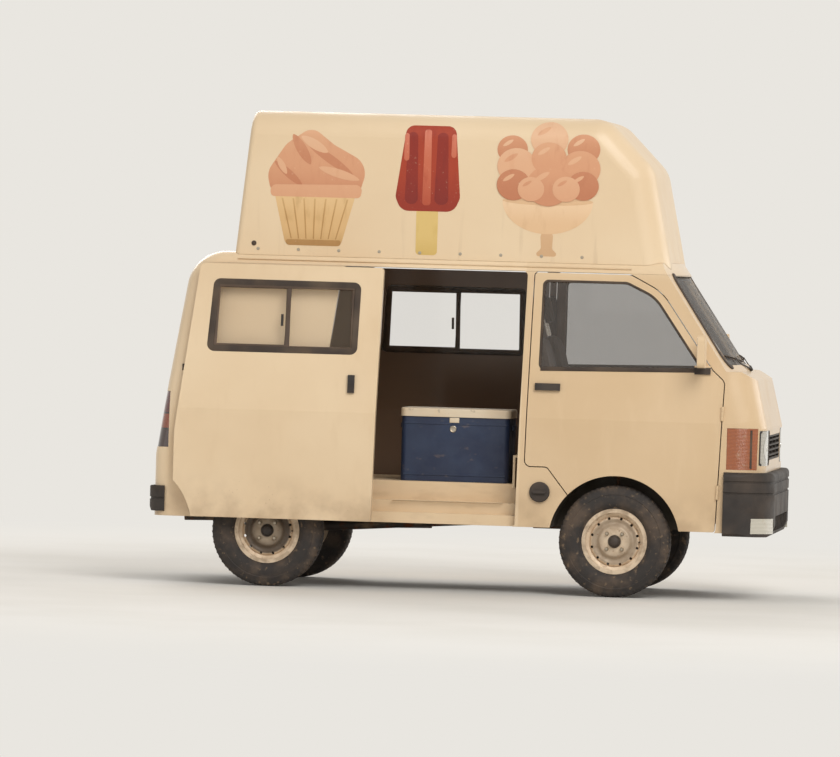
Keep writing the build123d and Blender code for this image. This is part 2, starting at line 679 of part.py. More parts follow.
def make_floor():
    """Cargo floor, steps, seat platform, cab floor and the four wheel housings."""
    back_x = (PLATFORM_REAR_X, PLATFORM_REAR_X + PLATFORM_SHEET)
    floor = span((-REACH, back_x[1]), EVERYWHERE, (CARGO_FLOOR - CARGO_SHEET, CARGO_FLOOR))
    for side in (-1, 1):
        floor = floor - region((SILL_X[0], REACH), (STEP_INNER_Y, REACH), (0, CARGO_FLOOR), side)
        riser = region(SILL_X, (STEP_INNER_Y - RISER_SHEET, STEP_INNER_Y), (BODY_BOTTOM, CARGO_FLOOR), side)
        floor = floor + riser + door_sill(side)
    width = (-PLATFORM_HALF_WIDTH, PLATFORM_HALF_WIDTH)
    platform_x = (PLATFORM_REAR_X, PLATFORM_FRONT_X)
    face_x = (PLATFORM_FRONT_X - PLATFORM_SHEET, PLATFORM_FRONT_X)
    floor = floor + span(platform_x, width, (PLATFORM_TOP - PLATFORM_SHEET, PLATFORM_TOP))
    floor = floor + span(back_x, width, (CARGO_FLOOR - CARGO_SHEET, PLATFORM_TOP))
    floor = floor + span(face_x, width, (CAB_FLOOR - CAB_SHEET, PLATFORM_TOP))
    floor = floor + span((face_x[0], REACH), EVERYWHERE, (CAB_FLOOR - CAB_SHEET, CAB_FLOOR))
    for side in (-1, 1):
        for axle_x, inner_y in ((REAR_AXLE_X, REAR_ARCH_INNER_Y), (FRONT_AXLE_X, FRONT_ARCH_INNER_Y)):
            floor = floor + wheel_cylinder(
                axle_x, ARCH_RADIUS + ARCH_WALL, inner_y - ARCH_WALL, HALF_WIDTH, side
            )
    floor = floor - ARCHES
    return floor & INNER & span(EVERYWHERE, EVERYWHERE, (BODY_BOTTOM, REACH))


def make_chassis():
    """Two kinked channel rails with the hangers of the leaf springs."""
    outline = [
        (RAIL_X[0], RAIL_REAR_BOTTOM, 0),
        (RAIL_X[0], RAIL_REAR_TOP, 0),
        (PLATFORM_REAR_X, RAIL_REAR_TOP, 60),
        (PLATFORM_REAR_X + 90, CAB_FLOOR - CAB_SHEET, 60),
        (RAIL_X[1], CAB_FLOOR - CAB_SHEET, 0),
        (RAIL_X[1], RAIL_BOTTOM, 0),
        (REAR_AXLE_X + 465, RAIL_BOTTOM, 80),
        (REAR_AXLE_X + 345, RAIL_REAR_BOTTOM, 80),
    ]
    rails = []
    spring_sides = (SPRING_Y - SPRING_WIDTH / 2, SPRING_Y + SPRING_WIDTH / 2)
    cheek = 6.0
    for side in (-1, 1):
        bar = side_prism(outline, side=side, near=RAIL_INNER_Y, far=RAIL_OUTER_Y)
        pocket = side_prism(
            outline, grow=-RAIL_SHEET, side=side, near=RAIL_INNER_Y - 1, far=RAIL_OUTER_Y - RAIL_SHEET
        )
        rail = bar - pocket
        for x in (REAR_AXLE_X - SPRING_HALF_LENGTH, REAR_AXLE_X + SPRING_HALF_LENGTH):
            arm_y = (RAIL_OUTER_Y - RAIL_SHEET, spring_sides[1] + cheek + 2)
            arm_z = (SPRING_EYE_HEIGHT + 33, SPRING_EYE_HEIGHT + 78)
            rail = rail + region((x - 25, x + 25), arm_y, arm_z, side)
            for near in (spring_sides[0] - cheek - 1, spring_sides[1] + 1):
                cheek_z = (SPRING_EYE_HEIGHT - 22, arm_z[0] + 5)
                rail = rail + region((x - 20, x + 20), (near, near + cheek), cheek_z, side)
        rails.append(rail)
    return fused(rails)


def tow_eye(member_x, member_low, way):
    """A flat tongue on a cross member, with an upright hole at its end."""
    hole_x = member_x + way * TOW_EYE_REACH
    top = member_low + TOW_EYE_LAP
    levels = (top - TOW_EYE_THICKNESS, top)
    tongue = span(sorted((member_x, hole_x)), (-TOW_EYE_HALF_WIDTH, TOW_EYE_HALF_WIDTH), levels)
    tongue = tongue + rod((hole_x, 0, levels[0]), (hole_x, 0, levels[1]), TOW_EYE_HALF_WIDTH)
    return tongue - rod((hole_x, 0, levels[0] - 1), (hole_x, 0, levels[1] + 1), TOW_EYE_RADIUS)


def make_cross_members():
    """Seven cross members between the rails, the end ones with a towing eye each."""
    tail_z = (RAIL_REAR_BOTTOM + 6, RAIL_REAR_BOTTOM + 60)
    rear_z = (RAIL_REAR_BOTTOM + 10, RAIL_REAR_TOP - 8)
    middle_z = (RAIL_BOTTOM + 8, RAIL_BOTTOM + 58)
    front_z = (RAIL_BOTTOM + 8, RAIL_BOTTOM + 68)
    members = [
        (TOW_MEMBER_X[0], tail_z),
        (REAR_AXLE_X - 255, rear_z),
        (REAR_AXLE_X + 345, rear_z),
        (REAR_AXLE_X + 865, middle_z),
        (PLATFORM_REAR_X - 22, middle_z),
        (FRONT_AXLE_X + 335, front_z),
        (TOW_MEMBER_X[1], front_z),
    ]
    half = RAIL_OUTER_Y - RAIL_SHEET - SEAT_GAP
    pieces = []
    for x, levels in members:
        pieces.append(span((x - MEMBER_HALF_LENGTH, x + MEMBER_HALF_LENGTH), (-half, half), levels))
    frame = fused(pieces)
    frame = frame + tow_eye(TOW_MEMBER_X[0], tail_z[0], -1)
    return frame + tow_eye(TOW_MEMBER_X[1], front_z[0], 1)


def make_tyre():
    """The tyre's section turned about its axis: tread, shoulders, walls and beads."""
    half = TYRE_WIDTH / 2
    bead = RIM_SEAT_RADIUS + SEAT_GAP
    bead_half = RIM_WIDTH / 2 - RIM_SHEET - SEAT_GAP
    height = TYRE_RADIUS - bead
    wide = bead + 0.41 * height
    round_wall = 0.3 * height
    bead_top = bead + BEAD_HEIGHT
    lining = TYRE_RADIUS - TYRE_WALL - 12
    section = [
        (-bead_half, bead, 0),
        (-bead_half, bead_top, 0),
        (-half, wide, round_wall),
        (-half + 6, TYRE_RADIUS - TYRE_TREAD_EDGE, 0),
        (-half + TYRE_TREAD_EDGE, TYRE_RADIUS, 10),
        (half - TYRE_TREAD_EDGE, TYRE_RADIUS, 10),
        (half - 6, TYRE_RADIUS - TYRE_TREAD_EDGE, 0),
        (half, wide, round_wall),
        (bead_half, bead_top, 0),
        (bead_half, bead, 0),
        (bead_half - TYRE_WALL, bead, 0),
        (bead_half - TYRE_WALL, bead_top - 2, 0),
        (half - TYRE_WALL, wide, 0),
        (half - TYRE_WALL - 8, lining, 0),
        (-half + TYRE_WALL + 8, lining, 0),
        (-half + TYRE_WALL, wide, 0),
        (-bead_half + TYRE_WALL, bead_top - 2, 0),
        (-bead_half + TYRE_WALL, bead, 0),
    ]
    return revolve(flat_outline(section, Plane.YZ), Axis.Y)


def placed_wheel(shape, axle_x, side):
    """Put a wheel piece, made about the origin with its outer face to +Y, at its axle's end."""
    facing = shape if side > 0 else mirror(shape, Plane.XZ)
    return Pos(axle_x, side * TRACK / 2, TYRE_RADIUS) * facing


def make_rim():
    """A pressed steel wheel: flanged barrel, dished disc, hub with its bore and a drum inside."""
    half = RIM_WIDTH / 2
    seat = RIM_SEAT_RADIUS
    well = seat - 16
    sheet = RIM_SHEET
    barrel = [
        (-half, RIM_FLANGE_RADIUS, 0),
        (-half, seat - sheet, 0),
        (-half + 22, seat - sheet, 0),
        (-half + 32, well - sheet, 0),
        (half - 30, well - sheet, 0),
        (half - 22, seat - sheet, 0),
        (half, seat - sheet, 0),
        (half, RIM_FLANGE_RADIUS, 0),
        (half - sheet, RIM_FLANGE_RADIUS, 0),
        (half - sheet, seat, 0),
        (half - 24, seat, 0),
        (half - 32, well, 0),
        (-half + 34, well, 0),
        (-half + 24, seat, 0),
        (-half + sheet, seat, 0),
        (-half + sheet, RIM_FLANGE_RADIUS, 0),
    ]
    disc = [
        (half - 34, well - sheet + 2, 0),
        (half - 40, well - sheet + 2, 0),
        (half - 40, well - 12, 0),
        (half - 22, 118, 14),
        (half - 34, 92, 14),
        (half - 16, 72, 12),
        (half - 16, HUB_RADIUS - 2, 0),
        (half - 10, HUB_RADIUS - 2, 0),
        (half - 10, 75, 12),
        (half - 28, 94, 14),
        (half - 16, 121, 14),
        (half - 34, well - 8, 0),
    ]
    hub = [
        (-half - HUB_REAR, STUB_RADIUS + SEAT_GAP, 0),
        (-half - HUB_REAR, DRUM_RADIUS - 6, 0),
        (-half, DRUM_RADIUS, 0),
        (-half + 46, DRUM_RADIUS, 0),
        (-half + 46, HUB_RADIUS + 10, 0),
        (half - 8, HUB_RADIUS, 0),
        (half + 4, HUB_RADIUS - 4, 4),
        (half + 4, 0, 0),
        (half - 24, 0, 0),
        (half - 24, STUB_RADIUS + SEAT_GAP, 0),
    ]
    wheel = fused([revolve(flat_outline(section, Plane.YZ), Axis.Y) for section in (barrel, disc, hub)])
    for number in range(VENT_COUNT):
        angle = 2 * math.pi * (number + 0.5) / VENT_COUNT
        x = VENT_CIRCLE * math.cos(angle)
        z = VENT_CIRCLE * math.sin(angle)
        wheel = wheel - rod((x, 0, z), (x, half, z), VENT_RADIUS)
    return wheel


HUB_STOP_Y = TRACK / 2 - RIM_WIDTH / 2 - HUB_REAR - SEAT_GAP


def make_rear_axle():
    """Live axle: tube, differential housing, stubs in the wheels and the propeller shaft."""
    centre = (REAR_AXLE_X, 0, TYRE_RADIUS)
    section = [
        (0, 0, 0),
        (0, DIFFERENTIAL_RADIUS, 0),
        (45, DIFFERENTIAL_RADIUS - 4, 30),
        (110, AXLE_TUBE_RADIUS + 6, 20),
        (150, AXLE_TUBE_RADIUS, 0),
        (150, 0, 0),
    ]

    def across(start, end, side, radius):
        return rod((REAR_AXLE_X, side * start, TYRE_RADIUS), (REAR_AXLE_X, side * end, TYRE_RADIUS), radius)

    pieces = []
    for side in (-1, 1):
        housing = flat_outline([(side * p[0], p[1], p[2]) for p in section], Plane.YZ)
        pieces.append(Pos(*centre) * revolve(housing, Axis.Y))
        pieces.append(across(0, HUB_STOP_Y - 6, side, AXLE_TUBE_RADIUS))
        pieces.append(across(HUB_STOP_Y - 8, HUB_STOP_Y, side, DRUM_RADIUS - 8))
        pieces.append(across(HUB_STOP_Y - 8, HUB_STOP_Y + STUB_LENGTH, side, STUB_RADIUS))
    pieces.append(
        Plane(origin=(REAR_AXLE_X + 40, 0, TYRE_RADIUS), z_dir=(1, 0, 0.06))
        * Cone(62, 34, 130, align=(Align.CENTER, Align.CENTER, Align.MIN))
    )
    shaft_end = ENGINE_X[0] - SEAT_GAP
    shaft = rod((REAR_AXLE_X + 160, 0, TYRE_RADIUS + 8), (shaft_end, 0, ENGINE_SHAFT_HEIGHT), SHAFT_RADIUS)
    pieces.append(shaft & span((-REACH, shaft_end), (-SHAFT_RADIUS, SHAFT_RADIUS), (0, REACH)))
    return fused(pieces)


def make_engine():
    """One plain block for the engine and gearbox below the seats, on its mounts to the rails."""
    block = span(ENGINE_X, (-ENGINE_HALF_WIDTH, ENGINE_HALF_WIDTH), ENGINE_Z)
    block = fillet(block.edges().filter_by(Axis.X), ENGINE_EDGE_RADIUS)
    mount_x = (ENGINE_X[0] + 170, ENGINE_X[0] + 230)
    mount_z = (RAIL_BOTTOM + 8, RAIL_BOTTOM + 38)
    for side in (-1, 1):
        block = block + region(mount_x, (ENGINE_HALF_WIDTH - 75, RAIL_INNER_Y), mount_z, side)
    return block


def make_springs():
    """Leaf springs: three arched leaves each side, with an eye at both ends."""
    seat = TYRE_RADIUS + AXLE_TUBE_RADIUS + SEAT_GAP
    leaf_height = SPRING_THICKNESS / len(LEAF_SHARES)
    near = SPRING_Y - SPRING_WIDTH / 2
    far = SPRING_Y + SPRING_WIDTH / 2
    pieces = []
    for side in (-1, 1):
        for number, share in enumerate(LEAF_SHARES):
            top = seat + SPRING_THICKNESS - number * leaf_height
            low = top - leaf_height
            reach = SPRING_HALF_LENGTH * share
            rise = (SPRING_EYE_HEIGHT - 12 - seat) * share**2
            outline = [
                ThreePointArc((-reach, top + rise), (0, top), (reach, top + rise)),
                Line((reach, top + rise), (reach, low + rise)),
                ThreePointArc((-reach, low + rise), (0, low), (reach, low + rise)),
                Line((-reach, top + rise), (-reach, low + rise)),
            ]
            leaf = extrude(Plane.XZ * make_face(outline), amount=SPRING_WIDTH, dir=(0, side, 0))
            pieces.append(Pos(REAR_AXLE_X, side * near, 0) * leaf)
        for end in (-1, 1):
            x = REAR_AXLE_X + end * SPRING_HALF_LENGTH
            start = (x, side * near, SPRING_EYE_HEIGHT)
            pieces.append(rod(start, (x, side * far, SPRING_EYE_HEIGHT), SPRING_EYE_RADIUS))
    return fused(pieces)


def make_front_suspension():
    """Lower arms, strut rods and the cross member that carries them."""
    beam_low = TYRE_RADIUS - 88
    beam_high = TYRE_RADIUS - 24
    beam_half = RAIL_INNER_Y + 15
    arm_low = TYRE_RADIUS - 132
    top = TYRE_RADIUS + ARCH_RADIUS - SEAT_GAP
    x = FRONT_AXLE_X
    pieces = [
        span((x - 40, x + 40), (-beam_half, beam_half), (beam_low, beam_high))
        - span((x - 34, x + 34), (50 - beam_half, beam_half - 50), (beam_low - 6, beam_high - 6))
    ]
    for side in (-1, 1):
        y = side * KINGPIN_Y
        arm = [
            (x - 75, side * beam_half, 0),
            (x + 75, side * beam_half, 0),
            (x + 14, side * (KINGPIN_Y + 10), 8),
            (x - 14, side * (KINGPIN_Y + 10), 8),
        ]
        cap = rod((x, y, top - 12), (x, y, top), STRUT_CAP_RADIUS)
        post_y = (RAIL_INNER_Y + 4, RAIL_INNER_Y + 30)
        link_y = (beam_half - 30, beam_half + 18)
        pieces.append(region((x - 30, x + 30), post_y, (beam_low + 4, RAIL_BOTTOM), side))
        pieces.append(Pos(0, 0, arm_low) * extrude(flat_outline(arm, Plane.XY), amount=22, dir=(0, 0, 1)))
        pieces.append(region((x - 35, x + 35), link_y, (arm_low, beam_low + 4), side))
        pieces.append(rod((x, y, arm_low + 13), (x, y, KNUCKLE_BOTTOM - SEAT_GAP), BALL_RADIUS))
        pieces.append(rod((x, y, STRUT_TOP - 30), (x, y, top), STRUT_ROD_RADIUS))
        pieces.append(cap & wheel_cylinder(x, ARCH_RADIUS - SEAT_GAP, FRONT_ARCH_INNER_Y, REACH, side))
    return fused(pieces)


def make_knuckle(side):
    """Steering knuckle: upright on the kingpin line, stub for the wheel and the strut's tube."""
    x = FRONT_AXLE_X
    y = side * KINGPIN_Y
    stop = side * HUB_STOP_Y
    arm_height = TYRE_RADIUS + 16
    upright = rod((x, y, KNUCKLE_BOTTOM), (x, y, TYRE_RADIUS + 96), 20)
    tube = rod((x, y, TYRE_RADIUS + 86), (x, y, STRUT_TOP), STRUT_RADIUS)
    bore = rod((x, y, STRUT_TOP - 40), (x, y, STRUT_TOP + 1), STRUT_ROD_RADIUS + SEAT_GAP)
    carrier = rod((x, y - side * 18, TYRE_RADIUS), (x, stop, TYRE_RADIUS), 44)
    plate = rod((x, stop - side * 6, TYRE_RADIUS), (x, stop, TYRE_RADIUS), DRUM_RADIUS - 8)
    stub = rod((x, stop - side * 4, TYRE_RADIUS), (x, stop + side * STUB_LENGTH, TYRE_RADIUS), STUB_RADIUS)
    arm = rod((x, y, arm_height), (x - 110, y - side * 16, arm_height), 9)
    return upright + tube - bore + carrier + plate + stub + arm


def high_roof_form(inset):
    """The raised roof's outer form: a side outline through a tapered cross section."""
    foot_half = HIGH_BASE_HALF_WIDTH + 3
    side = [
        (HIGH_REAR_BASE_X, HIGH_FOOT, 0),
        (HIGH_REAR_TOP_X, HIGH_TOP, 0),
        (HIGH_FRONT_TOP_X, HIGH_TOP, 0),
        (HIGH_FRONT_KNEE_X, HIGH_FRONT_KNEE, 0),
        (HIGH_FRONT_BASE_X, HIGH_FOOT, 0),
    ]
    cross = [
        (-foot_half, HIGH_FOOT, 0),
        (-HIGH_TOP_HALF_WIDTH, HIGH_TOP, 0),
        (HIGH_TOP_HALF_WIDTH, HIGH_TOP, 0),
        (foot_half, HIGH_FOOT, 0),
    ]
    form = extrude(flat_outline(side, Plane.XZ, -inset), amount=REACH / 2, both=True)
    form = form & extrude(flat_outline(cross, Plane.YZ, -inset), amount=REACH, both=True)
    ahead = HIGH_FRONT_TOP_X - 90
    behind = HIGH_REAR_TOP_X + 130
    middle = HIGH_TOP_HALF_WIDTH / 2
    above = HIGH_FOOT + 140
    knees = edges_near(form, lambda e, c: runs_across(e) and c.X > ahead and c.Z > above)
    form = fillet(knees, HIGH_KNEE_RADIUS - inset)
    nose = edges_near(form, lambda e, c: runs_up(e) and c.X > ahead and abs(c.Y) > middle)
    form = fillet(nose, HIGH_NOSE_RADIUS - inset)
    rear = edges_near(form, lambda e, c: c.X < behind and c.Z > above)
    top = edges_near(
        form,
        lambda e, c: c.X >= behind and abs(c.Y) > middle and c.Z > HIGH_TOP - inset - 1 and e.length > 900,
    )
    return fillet(rear + top, HIGH_EDGE_RADIUS - inset)


def make_high_roof():
    """The moulded high roof, open below over the hatch in the van's roof."""
    shell = high_roof_form(0.0) - high_roof_form(HIGH_WALL)
    shell = shell & span(EVERYWHERE, EVERYWHERE, (ROOF_SPLIT - 8, REACH))
    return shell - SKIN


def bumper_form(proud, shift, levels, rounding):
    """A wrap-round bumper: the body's form pushed out, between two heights, its edges rounded."""
    far = REACH / 2
    half = HALF_WIDTH + proud - 4
    outline = [
        (-half, levels[0], rounding),
        (-half, levels[1], rounding),
        (half, levels[1], rounding),
        (half, levels[0], rounding),
    ]
    end = (NOSE_X if shift > 0 else -TAIL_X) + proud + abs(shift)
    profile = [
        (end - far, levels[0], 0),
        (end - far, levels[1], 0),
        (end, levels[1], rounding),
        (end, levels[0] + 2 * rounding, rounding),
        (end - rounding, levels[0], rounding / 2),
    ]
    way = math.copysign(1, shift)
    turned = [(way * x, z, radius) for x, z, radius in profile]
    form = Pos(shift, 0, 0) * envelope(-proud)
    return form & cross_prism(outline) & (side_prism(turned, side=-1) + side_prism(turned, side=1))


def grooves(proud, shift, heights):
    """Shallow level grooves that run round a bumper."""
    ring = Pos(shift, 0, 0) * (envelope(-proud - 1) - envelope(GROOVE_DEPTH - proud))
    half = GROOVE_HEIGHT / 2
    return ring & fused([span(EVERYWHERE, EVERYWHERE, (z - half, z + half)) for z in heights])


def fog_lamp_region(side, grow=0.0):
    return region((FOG_LAMP_X - grow, REACH), grown(FOG_LAMP_Y, grow), grown(FOG_LAMP_Z, grow), side)


def fog_lamp_sheet(face, back):
    """The layer between two depths behind the front bumper's face."""
    layer = envelope(face - FRONT_BUMPER_PROUD) - envelope(back - FRONT_BUMPER_PROUD)
    return Pos(FRONT_BUMPER_SHIFT, 0, 0) * layer


def make_front_bumper():
    """The deep front bumper with its grooves, ribbed air intake and fog lamp pockets."""
    bumper = bumper_form(FRONT_BUMPER_PROUD, FRONT_BUMPER_SHIFT, FRONT_BUMPER_Z, FRONT_BUMPER_ROUND)
    bumper = bumper & span((FRONT_BUMPER_X, REACH), EVERYWHERE, EVERYWHERE)
    bumper = bumper - grooves(FRONT_BUMPER_PROUD, FRONT_BUMPER_SHIFT, FRONT_GROOVES)
    front = NOSE_X + FRONT_BUMPER_PROUD + FRONT_BUMPER_SHIFT
    width = (-INTAKE_HALF_WIDTH, INTAKE_HALF_WIDTH)
    intake = span((front - INTAKE_DEPTH, REACH), width, INTAKE_Z)
    spacing = 2 * INTAKE_HALF_WIDTH / (INTAKE_RIBS + 1)
    for number in range(INTAKE_RIBS):
        y = spacing * (number + 1) - INTAKE_HALF_WIDTH
        intake = intake - span(EVERYWHERE, (y - INTAKE_RIB / 2, y + INTAKE_RIB / 2), INTAKE_Z)
    pockets = both_sides(lambda side: fog_lamp_region(side, SEAT_GAP))
    pockets = pockets & fog_lamp_sheet(-1, FOG_LAMP_DEPTH + SEAT_GAP)
    return bumper - intake - pockets - SKIN


def make_fog_lamps():
    """A lamp in each front corner of the bumper."""
    return both_sides(fog_lamp_region) & fog_lamp_sheet(LAMP_PROUD, FOG_LAMP_DEPTH)


def make_rear_bumper():
    """The slim rear bumper, with one groove, round the tail's corners."""
    bumper = bumper_form(REAR_BUMPER_PROUD, REAR_BUMPER_SHIFT, REAR_BUMPER_Z, REAR_BUMPER_ROUND)
    bumper = bumper & span((-REACH, REAR_BUMPER_X), EVERYWHERE, EVERYWHERE)
    return bumper - grooves(REAR_BUMPER_PROUD, REAR_BUMPER_SHIFT, REAR_GROOVES) - SKIN


def make_dashboard():
    """A moulded dashboard across the cab, with a hooded instrument box before the driver."""
    board_outline = [
        (COWL_X - 203, 850, 30),
        (COWL_X - 218, 1010, 30),
        (COWL_X - 183, 1085, 30),
        (COWL_X + 2, 1110, 20),
        (COWL_X + 22, 980, 20),
        (COWL_X - 18, 850, 30),
    ]
    hood_outline = [
        (COWL_X - 193, 1060, 10),
        (COWL_X - 203, 1140, 20),
        (COWL_X - 88, 1130, 40),
        (COWL_X - 38, 1080, 10),
    ]
    room = envelope(WALL + SEAT_GAP)
    board = extrude(flat_outline(board_outline, Plane.XZ), amount=REACH, both=True)
    hood = side_prism(hood_outline, near=STEERING_Y - 155, far=STEERING_Y + 165, side=1)
    return (board & room) + (hood & room)


def make_steering_wheel():
    """Rim, spokes and column, held by the dashboard."""
    centre = Vector(STEERING_X, STEERING_Y, STEERING_HEIGHT)
    plane = Plane(origin=centre, z_dir=(-0.62, 0, 0.78))
    pieces = [plane * Torus(STEERING_RADIUS, STEERING_GRIP), plane * Pos(0, 0, -22) * Cylinder(44, 40)]
    for angle in (25, 155, 270):
        pieces.append(plane * Rot(0, 0, angle) * Pos(100, 0, -12) * Box(150, 26, 12))
    start = centre - plane.z_dir * 30
    end = centre - plane.z_dir * COLUMN_LENGTH
    pieces.append(rod(tuple(start), tuple(end), COLUMN_RADIUS))
    return fused(pieces)


def make_seats():
    """Two front seats: a cushion on the platform and a raked back with a head rest each."""
    x = PILLAR_X
    back_outline = [(x + 95, 846, 30), (x, 1330, 30), (x + 75, 1345, 30), (x + 205, 850, 40)]
    head_outline = [(x - 4, 1362, 25), (x - 20, 1520, 30), (x + 45, 1535, 30), (x + 72, 1375, 25)]
    width = (SEAT_Y - SEAT_HALF_WIDTH, SEAT_Y + SEAT_HALF_WIDTH)
    head_width = (SEAT_Y - HEAD_REST_HALF_WIDTH, SEAT_Y + HEAD_REST_HALF_WIDTH)
    pieces = []
    for side in (-1, 1):
        cushion = region((x + 100, x + 570), width, (PLATFORM_TOP + SEAT_GAP, CUSHION_TOP), side)
        rims = cushion.edges().filter_by(Axis.Z) + cushion.edges().group_by(Axis.Z)[-1]
        pieces.append(fillet(rims, CUSHION_RADIUS))
        pieces.append(side_prism(back_outline, near=width[0] + 5, far=width[1] - 5, side=side))
        pieces.append(side_prism(head_outline, near=head_width[0], far=head_width[1], side=side))
        for y in (side * SEAT_Y - 50, side * SEAT_Y + 50):
            pieces.append(rod((x + 30, y, 1330), (x + 26, y, 1385), 6))
        foot_z = (CUSHION_TOP - 15, CUSHION_TOP + 35)
        pieces.append(region((x + 120, x + 190), grown(width, -50), foot_z, side))
    return fused(pieces)


def make_exhaust():
    """Down pipe, silencer and tail pipe along the left rail."""
    y = EXHAUST_Y
    down_x = ENGINE_X[0] + 110
    pipe = rod((down_x, y, 400), (SILENCER_X[1] - 10, y, 352), EXHAUST_RADIUS)
    flange = span((down_x - 45, down_x + 5), (ENGINE_HALF_WIDTH + SEAT_GAP, y + 7), (372, 424))
    silencer = rod((SILENCER_X[0], y, 350), (SILENCER_X[1], y, 360), SILENCER_RADIUS)
    route = [
        (SILENCER_X[0] + 10, y, 350),
        (REAR_AXLE_X + 185, y, 365),
        (REAR_AXLE_X + 85, y, 410),
        (REAR_AXLE_X - 115, y, 410),
        (REAR_AXLE_X - 275, y + 5, 318),
        (TAIL_X + 32, y + 7, 312),
    ]
    path = FilletPolyline(route, radius=TAIL_PIPE_BEND)
    tail = sweep(Plane(origin=route[0], z_dir=path.tangent_at(0)) * Circle(EXHAUST_RADIUS), path)
    hanger_x = (SILENCER_X[0] + 220, SILENCER_X[0] + 250)
    hanger = span(hanger_x, (y + 20, RAIL_INNER_Y), (400, 420)) + span(hanger_x, (y, y + 35), (380, 420))
    return pipe + flange + silencer + tail + hanger


def make_fuel_tank():
    tank = region(TANK_X, (RAIL_OUTER_Y, STEP_INNER_Y - RISER_SHEET - 2.5), TANK_Z, -1)
    return fillet(tank.edges().filter_by(Axis.X), TANK_EDGE_RADIUS)


def make_fuel_cap():
    """Round filler cap on the right side, behind the front wheel."""
    slope = (HALF_WIDTH - SILL_HALF_WIDTH) / (BELT_HEIGHT - EXTENSION_BOTTOM)
    x = FUEL_CAP_X
    z = FUEL_CAP_HEIGHT
    y = -(SILL_HALF_WIDTH + (z - EXTENSION_BOTTOM) * slope) - SEAT_GAP
    cap = rod((x, y + 4, z), (x, y - 16, z), FUEL_CAP_RADIUS)
    cap = chamfer(cap.edges().group_by(Axis.Y)[0], 4)
    grip = span((x - 34, x + 34), (y - 30, y - 15), (z - 7, z + 7))
    return cap + fillet(grip.edges().filter_by(Axis.Y), 6) - SKIN


def make_rails(slid_side):
    """Centre rails on the rear quarters, and the arms that carry the open door."""
    band = envelope(-TRACK_PROUD) - SKIN
    pieces = [region(TRACK_X, (NEAR_Y, REACH), TRACK_Z, side) & band for side in (-1, 1)]
    door_inside = Pos(0, slid_side * SLIDE_OUTSET, 0) * envelope(WALL + SEAT_GAP)
    for offset in TRACK_ARM_OFFSETS:
        x = SLIDE_REAR_BOTTOM_X - SLIDE_TRAVEL + offset
        arm = region((x - 40, x + 40), (NEAR_Y, REACH), grown(TRACK_Z, -6), slid_side)
        pieces.append((arm & door_inside) - SKIN)
    return fused(pieces)


def make_slide_handle(side, shift):
    """Recessed pull handle near a sliding door's front edge, on a flat base."""
    handle = region(grown((SLIDE_HANDLE_X, SLIDE_HANDLE_X), 17), (NEAR_Y, REACH), SLIDE_HANDLE_Z, side)
    return shift * (handle & (envelope(-SLIDE_HANDLE_PROUD) - SKIN))


def make_front_trim(side):
    """Door mirror on its arm and the front door's pull handle."""
    grip = region(GRIP_X, (NEAR_Y, REACH), GRIP_Z, side) & (envelope(-GRIP_PROUD) - SKIN)
    slope = (HALF_WIDTH - ROOF_HALF_WIDTH) / (ROOF_HEIGHT - BELT_HEIGHT)
    x = MIRROR_X
    z = MIRROR_FOOT_HEIGHT
    foot_y = HALF_WIDTH - (z - BELT_HEIGHT) * slope
    foot = region((x - 44, x + 38), (NEAR_Y, REACH), (z - 32, z + 12), side)
    foot = foot & (envelope(-9.0) - SKIN)
    arm = rod((x - 2, side * (foot_y + 4), z), (x + 1, side * (foot_y + 130), z + 60), 9)
    head = region((x - 19, x + 19), (MIRROR_INNER_Y, MIRROR_OUTER_Y), MIRROR_Z, side)
    return grip + foot + arm + fillet(head.edges().filter_by(Axis.X), 32)


def make_chest():
    """A hollow ice chest and its lid, hinged along the inner edge."""
    z = (CARGO_FLOOR + SEAT_GAP, CARGO_FLOOR + SEAT_GAP + CHEST_HEIGHT)
    outer = span(CHEST_X, CHEST_Y, z)
    outer = fillet(outer.edges().filter_by(Axis.Z), CHEST_RADIUS)
    inner = span(grown(CHEST_X, -CHEST_WALL), grown(CHEST_Y, -CHEST_WALL), (z[0] + CHEST_WALL, z[1] + 1))
    inner = fillet(inner.edges().filter_by(Axis.Z), CHEST_RADIUS - 10)
    box = outer - inner
    middle_y = (CHEST_Y[0] + CHEST_Y[1]) / 2
    for handle_x in (CHEST_X[0] - 14, CHEST_X[1] - 2):
        handle_y = grown((middle_y, middle_y), 60)
        box = box + span((handle_x, handle_x + 16), handle_y, (z[1] - 60, z[1] - 36))
    lid_low = z[1] + SEAT_GAP
    lid_y = (CHEST_Y[0] - LID_OVERHANG, CHEST_Y[1])
    lid = span(grown(CHEST_X, LID_OVERHANG), lid_y, (lid_low, lid_low + LID_HEIGHT))
    lid = fillet(lid.edges().filter_by(Axis.Z), CHEST_RADIUS + 2)
    lid = fillet(lid.edges().group_by(Axis.Z)[-1], 9)
    hinge_y = CHEST_Y[1] + CHEST_HINGE_OFFSET
    hinge_z = lid_low - SEAT_GAP / 2
    leaf_y = (CHEST_Y[1] - 2, hinge_y)
    step = CHEST_BARREL_LENGTH + SEAT_GAP
    for station in grown(CHEST_X, -CHEST_HINGE_INSET):
        for place in (-1, 0, 1):
            low = station + place * step - CHEST_BARREL_LENGTH / 2
            length = (low, low + CHEST_BARREL_LENGTH)
            barrel = rod((length[0], hinge_y, hinge_z), (length[1], hinge_y, hinge_z), CHEST_HINGE_RADIUS)
            if place == 0:
                lid = lid + barrel + span(length, leaf_y, (lid_low, hinge_z + CHEST_HINGE_RADIUS))
            else:
                box = box + barrel + span(length, leaf_y, (hinge_z - CHEST_HINGE_RADIUS, z[1]))
    return box, lid


